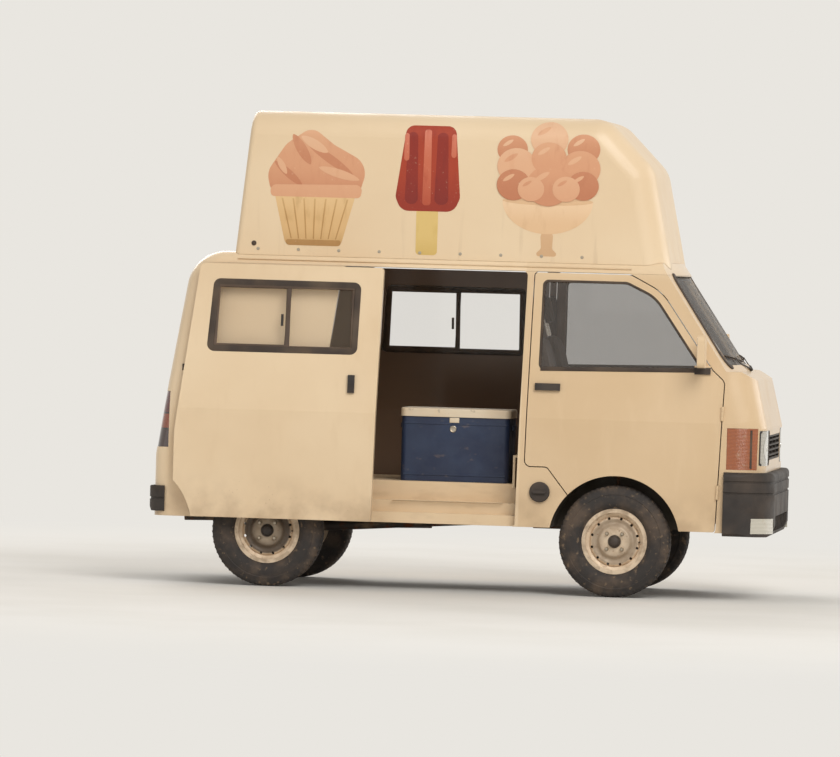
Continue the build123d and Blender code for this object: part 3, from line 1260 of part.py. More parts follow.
def shapes():
    """Every node's shape by name."""
    panels = body_panels()
    nodes = {name: panels[name] for name in ("roof_panel", "front_panel", "rear_panel")}
    slid = Pos(-SLIDE_TRAVEL, -SLIDE_OUTSET, 0)
    here = Pos(0, 0, 0)
    panes = []
    handles = []
    tyre = make_tyre()
    rim = make_rim()
    for side, name, shift in ((-1, "right", slid), (1, "left", here)):
        half = region(EVERYWHERE, (0, REACH), (0, REACH), side)
        nodes["side_panel_" + name] = panels["sides"] & half
        nodes["sliding_door_" + name] = shift * make_slide_door(side)
        panes.append(shift * pane(SLIDE_WINDOW, side_prism, side=side, near=NEAR_Y))
        handles.append(make_slide_handle(side, shift))
        nodes["front_door_" + name] = make_front_door(side)
        nodes["front_glass_" + name] = pane(FRONT_WINDOW, side_prism, side=side, near=NEAR_Y)
        nodes["front_trim_" + name] = make_front_trim(side)
        nodes["knuckle_" + name] = make_knuckle(side)
        for end, axle_x in (("front", FRONT_AXLE_X), ("rear", REAR_AXLE_X)):
            nodes["tyre_" + end + "_" + name] = placed_wheel(tyre, axle_x, side)
            nodes["wheel_" + end + "_" + name] = placed_wheel(rim, axle_x, side)
    nodes["sliding_glass"] = fused(panes)
    nodes["sliding_handles"] = fused(handles)
    nodes["tailgate"] = make_tailgate()
    nodes["tailgate_glass"] = pane(REAR_WINDOW, cross_prism, x_to=TAIL_FRONT_X)
    nodes["windscreen"] = pane(SCREEN, cross_prism, x_from=SCREEN_REAR_X)
    nodes["headlamps"] = both_sides(head_lamp_region) & LAMP_SHEET
    nodes["corner_lamps"] = both_sides(corner_lamp_region) & LAMP_SHEET
    nodes["tail_lamps"] = both_sides(tail_lamp_region) & LAMP_SHEET
    nodes["grille"] = make_grille()
    nodes["raised_roof"] = make_high_roof()
    nodes["front_bumper"] = make_front_bumper()
    nodes["rear_bumper"] = make_rear_bumper()
    nodes["fog_lamps"] = make_fog_lamps()
    nodes["floor"] = make_floor()
    nodes["chassis_frame"] = make_chassis()
    nodes["cross_members"] = make_cross_members()
    nodes["rear_axle"] = make_rear_axle()
    nodes["rear_springs"] = make_springs()
    nodes["front_suspension"] = make_front_suspension()
    nodes["engine"] = make_engine()
    nodes["exhaust"] = make_exhaust()
    nodes["fuel_tank"] = make_fuel_tank()
    nodes["fuel_cap"] = make_fuel_cap()
    nodes["door_rails"] = make_rails(-1)
    nodes["dashboard"] = make_dashboard()
    nodes["steering_wheel"] = make_steering_wheel() - nodes["dashboard"]
    nodes["seats"] = make_seats()
    nodes["ice_chest"], nodes["chest_lid"] = make_chest()
    return nodes


def main():
    os.makedirs("parts", exist_ok=True)
    for name, shape in shapes().items():
        solids = list(shape.solids())
        export_step(Compound(children=solids) if len(solids) > 1 else solids[0], "parts/" + name + ".step")


main()
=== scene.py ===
import json
from functools import reduce
from math import copysign, cos, exp, pi, radians, sin, tan

import bmesh
import bpy
from mathutils import Matrix, Vector
from mathutils.bvhtree import BVHTree
from mathutils.geometry import tessellate_polygon


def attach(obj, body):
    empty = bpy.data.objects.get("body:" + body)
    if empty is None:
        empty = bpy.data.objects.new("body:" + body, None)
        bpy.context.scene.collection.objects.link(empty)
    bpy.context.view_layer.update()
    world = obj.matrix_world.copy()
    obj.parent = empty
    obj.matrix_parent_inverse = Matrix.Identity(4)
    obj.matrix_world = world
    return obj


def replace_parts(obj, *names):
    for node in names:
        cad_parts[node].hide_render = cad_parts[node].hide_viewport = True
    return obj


# Ice cream truck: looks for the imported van, in metres.
# +X is ahead, +Y is the van's left, +Z is up, and the ground is at zero.

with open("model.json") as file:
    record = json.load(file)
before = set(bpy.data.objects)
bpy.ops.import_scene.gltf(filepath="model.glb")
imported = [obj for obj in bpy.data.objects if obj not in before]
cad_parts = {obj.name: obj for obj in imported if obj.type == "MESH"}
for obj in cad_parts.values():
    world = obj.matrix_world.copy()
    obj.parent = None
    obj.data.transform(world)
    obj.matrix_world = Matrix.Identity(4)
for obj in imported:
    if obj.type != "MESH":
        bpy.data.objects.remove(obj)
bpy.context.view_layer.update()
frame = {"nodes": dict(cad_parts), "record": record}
NODES = frame["nodes"]
SUBPARTS = frame["record"]["subparts"]
SIDES = (("right", -1), ("left", 1))

# Places that the pieces share with the van
BELT_HEIGHT = 0.9
ROOF_HEIGHT = 1.705
SILL_HEIGHT = 0.25
BELT_HALF_WIDTH = 0.6975
SILL_HALF_WIDTH = 0.69
ROOF_HALF_WIDTH = 0.6116
SIDE_LEAN = (BELT_HALF_WIDTH - ROOF_HALF_WIDTH) / (ROOF_HEIGHT - BELT_HEIGHT)
SILL_LEAN = (BELT_HALF_WIDTH - SILL_HALF_WIDTH) / (BELT_HEIGHT - SILL_HEIGHT)
WINDOW_SINK = 0.016
TAIL_X = -1.572
TAIL_KNEE_HEIGHT = 0.66
TAIL_LEAN = 0.1502
ROOF_BEND = (-1.243, 1.505)
HEADER_X = 1.049
SCREEN_FACING = (0.8266, 0.5628)
SCREEN_CROWN_RADIUS = 3.6
WALL = 0.042
FRONT_AXLE_X = 0.795
REAR_AXLE_X = -0.985
WHEEL_Y = 0.6025
TYRE_RADIUS = 0.284
ARCH_RADIUS = 0.334
FRONT_ARCH_INNER_Y = 0.36
REAR_ARCH_INNER_Y = 0.48
PILLAR_X = 0.3
CARGO_FLOOR = 0.556
SLIDE_SHIFT = (-0.725, -0.062)
HEAD_LAMP_MIDDLE = (0.523, 0.779)
TAIL_LAMP_LINES = (0.868, 0.79)

# Side windows as x, z, corner radius
FRONT_WINDOW = ((0.39, 1.15, 0.025), (0.397, 1.599, 0.025), (0.822, 1.599, 0.06), (0.968, 1.53, 0.2),
                (1.222, 1.165, 0.02))
SLIDE_WINDOW = ((-0.579, 1.198, 0.03), (-0.555, 1.556, 0.03), (0.188, 1.553, 0.03), (0.179, 1.199, 0.03))
SLIDE_BAR_X = -0.178
# Screens as y, z, corner radius
SCREEN = ((-0.585, 1.195, 0.06), (-0.53, 1.64, 0.06), (0.53, 1.64, 0.06), (0.585, 1.195, 0.06))
REAR_WINDOW = ((-0.48, 1.005, 0.05), (-0.455, 1.47, 0.05), (0.455, 1.47, 0.05), (0.48, 1.005, 0.05))


def rgb(red, green, blue):
    """A linear colour from its 0 to 255 values on screen."""
    levels = (red / 255, green / 255, blue / 255)
    return (*(v / 12.92 if v < 0.04045 else ((v + 0.055) / 1.055) ** 2.4 for v in levels), 1)


CREAM = rgb(233, 208, 172)
CREAM_DEEP = rgb(222, 194, 156)
CREAM_WARM = rgb(209, 178, 137)
# Painted shade for the faces inside the van
INSIDE_SHADE_BROWN = rgb(120, 94, 72)
DUST = rgb(172, 143, 110)
# Grime, also used as painted shade on the wheel discs
GRIME_AND_SHADE = rgb(96, 78, 62)
RUST = rgb(122, 70, 40)
BLACK = rgb(34, 30, 28)
# Near black, for dark parts and for painted shade
BLACK_AND_SHADE = rgb(22, 19, 17)
BLACK_PLASTIC = (rgb(44, 38, 34), rgb(80, 66, 54))
BACKDROP = rgb(233, 230, 224)
SKYLIGHT = (1, 0.985, 0.96, 1)

LOOKS = {}


class Look:
    """A Principled material, built up from patterns in the van's own space."""

    def __init__(self, name, colour, roughness=0.5, **sockets):
        self.material = bpy.data.materials.new(name)
        self.material.use_nodes = True
        self.tree = self.material.node_tree
        self.shader = self.tree.nodes["Principled BSDF"]
        sockets.update(Base_Color=colour, Roughness=roughness)
        for socket, value in sockets.items():
            self.shader.inputs[socket.replace("_", " ")].default_value = value
        self.place = self.node("TexCoord").outputs["Object"]
        self.x, self.y, self.z = self.node("SeparateXYZ", Vector=self.place).outputs
        LOOKS[name] = self

    def feed(self, socket, value):
        if isinstance(value, bpy.types.NodeSocket):
            self.tree.links.new(value, socket)
        else:
            socket.default_value = value

    def node(self, kind, **inputs):
        """A node of a kind, with its inputs fed by name."""
        made = self.tree.nodes.new("ShaderNode" + kind)
        for name, value in inputs.items():
            self.feed(made.inputs[name.replace("_", " ")], value)
        return made

    def calc(self, operation, first, second=0):
        made = self.node("Math")
        made.operation = operation
        self.feed(made.inputs[0], first)
        self.feed(made.inputs[1], second)
        return made.outputs[0]

    def plus(self, first, second):
        return self.calc("ADD", first, second)

    def minus(self, first, second):
        return self.calc("SUBTRACT", first, second)

    def share(self, amount):
        """A band from (value, low, high), patches of noise from (low, high, scale, ...), or the amount."""
        if not isinstance(amount, tuple):
            return amount
        if isinstance(amount[0], bpy.types.NodeSocket):
            return self.band(*amount)
        low, high, *pattern = amount
        return self.band(self.noise(*pattern), low, high)

    def times(self, *amounts):
        return reduce(lambda first, second: self.calc("MULTIPLY", first, second), map(self.share, amounts))

    def off_centre(self):
        return self.calc("ABSOLUTE", self.y)

    def noise(self, scale, detail=3, stretch=None):
        place = self.place
        if stretch:
            place = self.node("Mapping", Vector=place, Scale=stretch).outputs["Vector"]
        return self.node("TexNoise", Vector=place, Scale=scale, Detail=detail).outputs["Fac"]

    def cells(self, scale):
        return self.node("TexVoronoi", Vector=self.place, Scale=scale).outputs["Distance"]

    def ridges(self, value, pitch, sharpness=1):
        """Rounded ridges along a value, from 0 in the valleys to 1 on the crests."""
        wave = self.calc("SINE", self.times(value, pi / pitch))
        return self.calc("POWER", self.calc("ABSOLUTE", wave), sharpness)

    def distance(self, *pairs):
        """How far a point lies from a place, given as pairs of (value, level)."""
        total = 0
        for value, level in pairs:
            offset = self.calc("ABSOLUTE", self.minus(value, level))
            total = self.plus(self.calc("POWER", offset, 2), total)
        return self.calc("SQRT", total)

    def from_line(self, x, z):
        """How far a point lies from a line that runs across the van."""
        return self.distance((self.x, x), (self.z, z))

    def band(self, value, low, high):
        """Nought below low, one above high and smooth between, or the other way if low > high."""
        ends = {"From_Min": min(low, high), "From_Max": max(low, high)}
        made = self.node("MapRange", Value=value, To_Min=float(low > high), To_Max=float(low < high), **ends)
        made.interpolation_type = "SMOOTHSTEP"
        return made.outputs["Result"]

    def facing_down(self):
        """One on faces that look at the ground."""
        normal = self.node("NewGeometry").outputs["True Normal"]
        return self.band(self.node("SeparateXYZ", Vector=normal).outputs["Z"], -0.6, -0.8)

    def mix(self, name, value, amounts, kind, first, output):
        """Mix a socket's present value or link towards another by the product of some amounts."""
        socket = self.shader.inputs[name]
        present = socket.links[0].from_socket if socket.links else socket.default_value
        made = self.node("Mix")
        made.data_type = kind
        for place, fed in ((0, self.times(*amounts)), (first, present), (first + 1, value)):
            self.feed(made.inputs[place], fed)
        self.feed(socket, made.outputs[output])
        return self

    def paint(self, colour, *amounts):
        return self.mix("Base Color", colour, amounts, "RGBA", 6, 2)

    def roughen(self, value, *amounts):
        return self.mix("Roughness", value, amounts, "FLOAT", 2, 0)

    def soften(self, radius):
        """Catch light on edges as if they were rounded by a radius."""
        bevel = self.node("Bevel", Radius=radius)
        bevel.samples = 6
        self.feed(self.shader.inputs["Normal"], bevel.outputs["Normal"])
        return self

    def bump(self, height, distance, strength):
        """Raise the surface by a height: noise as (scale, detail, stretch), cells as a scale, or a value."""
        if isinstance(height, tuple):
            height = self.noise(*height)
        elif not isinstance(height, bpy.types.NodeSocket):
            height = self.cells(height)
        normal = self.shader.inputs["Normal"]
        made = self.node("Bump", Height=height, Distance=distance, Strength=strength)
        if normal.links:
            self.feed(made.inputs["Normal"], normal.links[0].from_socket)
        self.feed(normal, made.outputs["Normal"])
        return self


def inside_shade(look):
    """One on the faces that look into the van, where shade is painted, nought on its skin."""
    x, z, across = look.x, look.z, look.off_centre()
    above_belt = look.calc("MAXIMUM", look.minus(z, BELT_HEIGHT), 0)
    skin_y = look.minus(BELT_HALF_WIDTH, look.times(above_belt, SIDE_LEAN))
    sunk = look.times((z, 1.14, 1.16), (z, 1.62, 1.6), WINDOW_SINK)
    side_depth = look.plus(look.minus(skin_y, across), sunk)
    above_knee = look.calc("MAXIMUM", look.minus(z, TAIL_KNEE_HEIGHT), 0)
    tail_depth = look.minus(x, look.plus(look.times(above_knee, TAIL_LEAN), TAIL_X))
    bend_x, bend_z = ROOF_BEND
    behind_and_over = look.times((x, bend_x, bend_x - 0.002), (z, bend_z, bend_z + 0.002))
    outside_bend = look.times(behind_and_over, (look.from_line(bend_x, bend_z), 0.164, 0.17))
    ahead = look.times(look.minus(x, HEADER_X), SCREEN_FACING[0])
    higher = look.times(look.minus(z, ROOF_HEIGHT), SCREEN_FACING[1])
    bow = look.calc("DIVIDE", look.calc("POWER", across, 2), 2 * SCREEN_CROWN_RADIUS)
    screen_depth = look.times(look.plus(look.plus(ahead, higher), bow), -1)
    shares = [(depth, 0.03, 0.036) for depth in (side_depth, tail_depth, screen_depth)]
    ends = look.times((x, 1.3, 1.28), (z, 1.69, 1.68), look.minus(1, outside_bend))
    return look.times(*shares, ends)


def arch_shade(look):
    """One inside the wheel arches, where shade is painted, nought elsewhere."""
    shares = []
    for axle_x, inner_y in ((FRONT_AXLE_X, FRONT_ARCH_INNER_Y), (REAR_AXLE_X, REAR_ARCH_INNER_Y)):
        near_axle = (look.from_line(axle_x, TYRE_RADIUS), ARCH_RADIUS + 0.004, ARCH_RADIUS + 0.001)
        outside = (look.off_centre(), inner_y - 0.004, inner_y - 0.001)
        shares.append(look.times(near_axle, outside))
    return look.calc("MAXIMUM", *shares)


def painted_body():
    look = Look("body_paint", CREAM, 0.34, Coat_Weight=0.35, Coat_Roughness=0.12).soften(0.003)
    look.paint(CREAM_WARM, (look.x, PILLAR_X, PILLAR_X + 0.01), (look.z, 1.72, 1.6), 0.85)
    look.paint(CREAM_DEEP, (0.3, 0.8, 1.6, 5), 0.8)
    look.paint(CREAM_DEEP, (0.52, 0.8, 14, 5, (1, 1, 0.25)), 0.5)
    look.paint(DUST, (look.z, 0.62, 0.34), (0.3, 0.7, 7, 6), 0.6)
    chips = (look.cells(55), 0.1, 0.05)
    look.paint(RUST, chips, (0.56, 0.66, 3), (look.z, 0.75, 0.36))
    look.roughen(0.62, (0.4, 0.8, 3.5, 6), 0.7)
    # Painted shade: the faces inside the van are painted dark brown for the shade in the cab and the load
    # space
    look.paint(INSIDE_SHADE_BROWN, inside_shade(look))
    # Painted shade: the wheel arches and the cut edges round them are painted near black for the shade about
    # the tyres
    below_skin = (look.off_centre(), SILL_HALF_WIDTH - 0.001, SILL_HALF_WIDTH - 0.004)
    look.paint(BLACK_AND_SHADE, arch_shade(look), below_skin, 0.9)
    look.bump((2.2, 2), 0.004, 0.35)
    look.bump((420, 2), 0.00025, 0.5)


def inner_paint():
    look = Look("inner_paint", rgb(226, 199, 162)).soften(0.003)
    look.paint(CREAM_DEEP, (0.35, 0.7, 3, 5))
    look.paint(DUST, (0.5, 0.85, 16, 8, (0.35, 1, 1)), (look.z, 0.8, 0.3), 0.55)
    look.roughen(0.8, (0.4, 0.7, 6, 5))
    # Painted shade: faces that look down below the cargo floor, and the wheel housings, are painted near
    # black
    under = look.times(look.facing_down(), (look.z, CARGO_FLOOR + 0.004, CARGO_FLOOR))
    look.paint(BLACK_AND_SHADE, look.calc("MAXIMUM", arch_shade(look), under), 0.92)
    look.bump((60, 4), 0.0008, 0.6)


def moulded_roof():
    look = Look("moulded_roof", rgb(231, 207, 172), 0.42, Coat_Weight=0.15).soften(0.004)
    look.paint(CREAM_DEEP, (0.25, 0.85, 1.1, 5))
    look.paint(DUST, (0.56, 0.78, 22, 5, (1, 1, 0.06)), (look.z, 2.05, 1.7), 0.35)
    look.paint(DUST, (look.z, 2.405, 2.43), (0.3, 0.8, 2.6, 7), 0.28)
    look.roughen(0.6, (0.35, 0.75, 4, 5))
    look.bump((3.4, 2), 0.006, 0.4)
    look.bump((180,), 0.0004, 0.5)


def underseal():
    look = Look("chassis_black", BLACK, 0.75).soften(0.002)
    look.paint(DUST, (0.42, 0.75, 9, 7), 0.6)
    look.paint(RUST, (0.58, 0.72, 26, 6), 0.6)
    look.bump((140, 5), 0.0012, 0.8)


def rusty_steel():
    look = Look("bare_steel", rgb(74, 66, 60), 0.6, Metallic=0.55).soften(0.002)
    look.paint(RUST, (0.46, 0.68, 18, 7))
    look.paint(DUST, (0.5, 0.75, 7, 6), 0.6)
    look.roughen(0.9, (0.46, 0.62, 18, 7))
    look.bump((160, 5), 0.0008, 0.8)


def wheel_steel(name, axle_x, dirt_and_shade):
    """Silver paint, near black about the hub; grime and painted shade darken the disc, the rear discs much
    more for the shade under the body, and speckled grime lies round the rim's seat.
    """
    look = Look(name, rgb(222, 200, 172), 0.42, Metallic=0.15).soften(0.0015)
    radius = look.from_line(axle_x, TYRE_RADIUS)
    speckle = (0.35, 0.7, 24, 7)
    look.paint(DUST, speckle, 0.4)
    # Grime and painted shade darken the disc
    look.paint(GRIME_AND_SHADE, (radius, 0.122, 0.112), (radius, 0.04, 0.096), dirt_and_shade)
    # Painted shade: the whole disc darkens further, most on the rear wheels under the body
    look.paint(BLACK_AND_SHADE, (radius, 0.124, 0.112), dirt_and_shade - 0.45)
    look.paint(GRIME_AND_SHADE, (radius, 0.138, 0.152), speckle, 0.35)
    look.paint(BLACK_AND_SHADE, (radius, 0.036, 0.031), 0.92)
    look.paint(RUST, (0.64, 0.72, 60, 5), 0.45)
    look.roughen(0.75, speckle, 0.8)
    look.bump((210, 4), 0.0004, 0.6)


def tyre_rubber():
    look = Look("tyre_rubber", rgb(48, 43, 40), 0.78)
    look.paint(rgb(104, 86, 70), (0.4, 0.72, 11, 7), 0.6)
    look.paint(DUST, (0.58, 0.75, 40, 5), 0.35)
    look.bump((260, 4), 0.0005, 0.7)


def grained_plastic(name, colour, faded, roughness=0.62):
    look = Look(name, colour, roughness).soften(0.002)
    look.paint(faded, (0.35, 0.75, 6, 6), 0.6)
    look.roughen(0.8, (0.4, 0.7, 9, 5))
    return look.bump(620, 0.0004, 0.6)


def mirror_trim():
    """Black handle and foot, with the mirror's shell in the colour of the body."""
    look = grained_plastic("mirror_trim", *BLACK_PLASTIC)
    look.paint(CREAM_DEEP, (look.x, 1, 1.01), (look.z, 1.178, 1.184))


def window_glass(name, colour, opacity):
    look = Look(name, colour, 0.04, Alpha=opacity, IOR=2.3)
    look.roughen(0.22, (0.5, 0.8, 7, 6), 0.6)
    look.bump((2.5, 1), 0.002, 0.15)


def lens_plastic(name, colour, deep):
    """A moulded lens: clear-coated plastic with small flutes on its back."""
    look = Look(name, colour, 0.22, Coat_Weight=1, Coat_Roughness=0.05, IOR=1.5)
    look.paint(deep, look.ridges(look.z, 0.007, 2))
    look.paint(DUST, (0.55, 0.75, 30, 6), 0.3)
    return look.bump(look.ridges(look.z, 0.007), 0.0012, 0.7)


def head_lens():
    """A fluted glass with a round reflector painted behind it as a bright painted reflection, and the bowl's
    rim and the bulb's shade.
    """
    look = lens_plastic("head_lens", rgb(196, 190, 176), rgb(158, 152, 138))
    radius = look.distance((look.off_centre(), HEAD_LAMP_MIDDLE[0]), (look.z, HEAD_LAMP_MIDDLE[1]))
    # Painted reflection: the bowl behind the glass is painted as a bright disc
    look.paint(rgb(232, 228, 216), (radius, 0.08, 0.074), 0.8)
    look.paint(rgb(120, 114, 102), (radius, 0.086, 0.082), (radius, 0.074, 0.078))
    look.paint(rgb(104, 98, 88), (radius, 0.026, 0.02), 0.8)
    look.paint(rgb(148, 142, 128), look.ridges(look.y, 0.011, 3), 0.45)
    look.bump(look.ridges(look.y, 0.011), 0.0015, 0.8)


def tail_lens():
    """Deep red above, amber in the middle and smoked below, with dark lines between them."""
    look = lens_plastic("red_lens", rgb(104, 26, 20), rgb(70, 14, 12))
    upper, lower = TAIL_LAMP_LINES
    look.paint(rgb(138, 62, 28), (look.z, upper, upper - 0.001), (look.z, lower, lower + 0.001))
    look.paint(rgb(58, 36, 30), (look.z, lower, lower - 0.001))
    for line in TAIL_LAMP_LINES:
        look.paint(BLACK_AND_SHADE, (look.calc("ABSOLUTE", look.minus(look.z, line)), 0.0035, 0.0028))


def chest_blue():
    # A navy blue, darkened further as painted shade of the doorway where the chest stands
    look = Look("chest_blue", rgb(31, 42, 68), 0.42).soften(0.004)
    look.paint(rgb(46, 60, 86), (0.4, 0.75, 5, 6), 0.7)
    look.paint(DUST, (0.62, 0.78, 34, 8, (0.5, 1, 1)), 0.22)
    look.roughen(0.65, (0.4, 0.7, 12, 5))
    look.bump(480, 0.0004, 0.6)


def lid_white():
    look = Look("lid_white", rgb(226, 209, 182), 0.4).soften(0.003)
    look.paint(CREAM_DEEP, (0.35, 0.75, 6, 6), 0.7)
    look.paint(GRIME_AND_SHADE, (0.62, 0.74, 34, 8), 0.35)
    look.bump(420, 0.0004, 0.5)


def woven_cover():
    """Seat cloth: two sets of threads over and under each other."""
    look = Look("seat_cover", rgb(86, 70, 58), 0.85, Sheen_Weight=0.25)
    look.paint(rgb(58, 46, 38), (0.35, 0.7, 9, 6))
    across, ahead, up = (look.ridges(axis, 0.003) for axis in (look.y, look.x, look.z))
    weft = look.calc("MAXIMUM", ahead, up)
    look.paint(rgb(112, 94, 78), across, weft, 0.5)
    look.bump(look.plus(across, weft), 0.0006, 0.8)


def vinyl(name, colour, worn):
    look = Look(name, colour, 0.55)
    look.paint(worn, (0.4, 0.72, 8, 6), 0.7)
    look.bump(300, 0.0006, 0.8)


def bright_metal(name, colour, roughness, dust=0.4):
    look = Look(name, colour, roughness, Metallic=1)
    look.paint(DUST, (0.55, 0.75, 40, 6), dust)
    look.roughen(0.5, (0.45, 0.7, 30, 5), dust * 2)


def sign_paint(name, colour, deep, light, top, foot):
    """Brushed paint that runs from light at the top of a shape to deep at its foot."""
    look = Look(name, colour, 0.45)
    middle = (top + foot) / 2
    look.paint(light, (look.z, middle, top), 0.8)
    look.paint(deep, (look.z, middle, foot), 0.7)
    look.paint(deep, (0.5, 0.75, 26, 5, (1, 1, 0.3)), 0.45)
    look.paint(CREAM, (0.64, 0.76, 70, 6), 0.2)
    look.bump((150, 3, (1, 1, 0.2)), 0.0004, 0.5)


# Paints of the pictures as name: colour, deep colour, light colour, top and foot of the shape
PICTURE_PAINTS = {
    "pink": ((214, 156, 118), (197, 132, 96), (222, 172, 134), 2.36, 2),
    "pink_deep": ((197, 132, 96), (186, 116, 82), (214, 156, 118), 2.36, 2),
    "pink_light": ((222, 172, 134), (214, 156, 118), (228, 186, 150), 2.36, 1.98),
    "tan": ((216, 176, 122), (184, 142, 86), (228, 192, 140), 2.02, 1.7),
    "tan_deep": ((184, 142, 86), (164, 120, 68), (216, 176, 122), 2.02, 1.72),
    "red": ((164, 56, 26), (138, 36, 18), (164, 56, 26), 2.4, 1.93),
    "red_deep": ((138, 36, 18), (118, 28, 18), (138, 36, 18), 2.4, 1.93),
    "red_light": ((196, 102, 72), (164, 56, 26), (218, 132, 108), 2.4, 1.93),
    "yellow": ((218, 186, 116), (202, 168, 92), (218, 186, 116), 1.95, 1.7),
    "bowl": ((224, 186, 144), (211, 171, 130), (238, 206, 168), 2.02, 1.72),
    "bowl_deep": ((211, 171, 130), (204, 164, 122), (224, 186, 144), 2.02, 1.72),
}


def make_looks():
    for make in (painted_body, inner_paint, moulded_roof, underseal, rusty_steel, tyre_rubber, head_lens,
                 tail_lens, mirror_trim, chest_blue, lid_white, woven_cover):
        make()
    # The last number sets the grime and painted shade on the disc, more on the rear wheels for the shade
    # under the body
    wheel_steel("wheel_steel_front", FRONT_AXLE_X, 0.5)
    wheel_steel("wheel_steel_rear", REAR_AXLE_X, 0.9)
    window_glass("clear_glass", rgb(60, 47, 35), 0.26)
    window_glass("sliding_glass", rgb(170, 154, 130), 0.07)
    lens_plastic("lamp_glass", rgb(214, 208, 192), rgb(182, 176, 160))
    lens_plastic("amber_lens", rgb(172, 92, 36), rgb(134, 64, 24))
    grained_plastic("black_plastic", *BLACK_PLASTIC)
    grained_plastic("dash_brown", rgb(78, 62, 50), rgb(112, 92, 74))
    grained_plastic("seal_rubber", rgb(58, 47, 39), rgb(104, 86, 68), 0.7)
    vinyl("door_card", rgb(98, 78, 62), rgb(70, 54, 42))
    vinyl("light_trim", rgb(206, 184, 152), rgb(182, 156, 122))
    bright_metal("chrome", rgb(226, 218, 206), 0.12)
    bright_metal("reflector", rgb(236, 232, 224), 0.08, 0.06)
    bright_metal("zinc", rgb(176, 166, 150), 0.38)
    for name, (colour, deep, light, top, foot) in PICTURE_PAINTS.items():
        sign_paint("picture_" + name, rgb(*colour), rgb(*deep), rgb(*light), top, foot)


# Meshes

def add_object(name, data):
    made = bpy.data.objects.new(name, data)
    bpy.context.scene.collection.objects.link(made)
    return made


def dress(data, look, sharp):
    """Give a mesh one material, smooth apart from the edges that are sharper than an angle."""
    data.materials.clear()
    data.materials.append(LOOKS[look].material)
    data.shade_smooth()
    data.set_sharp_from_angle(angle=radians(sharp))


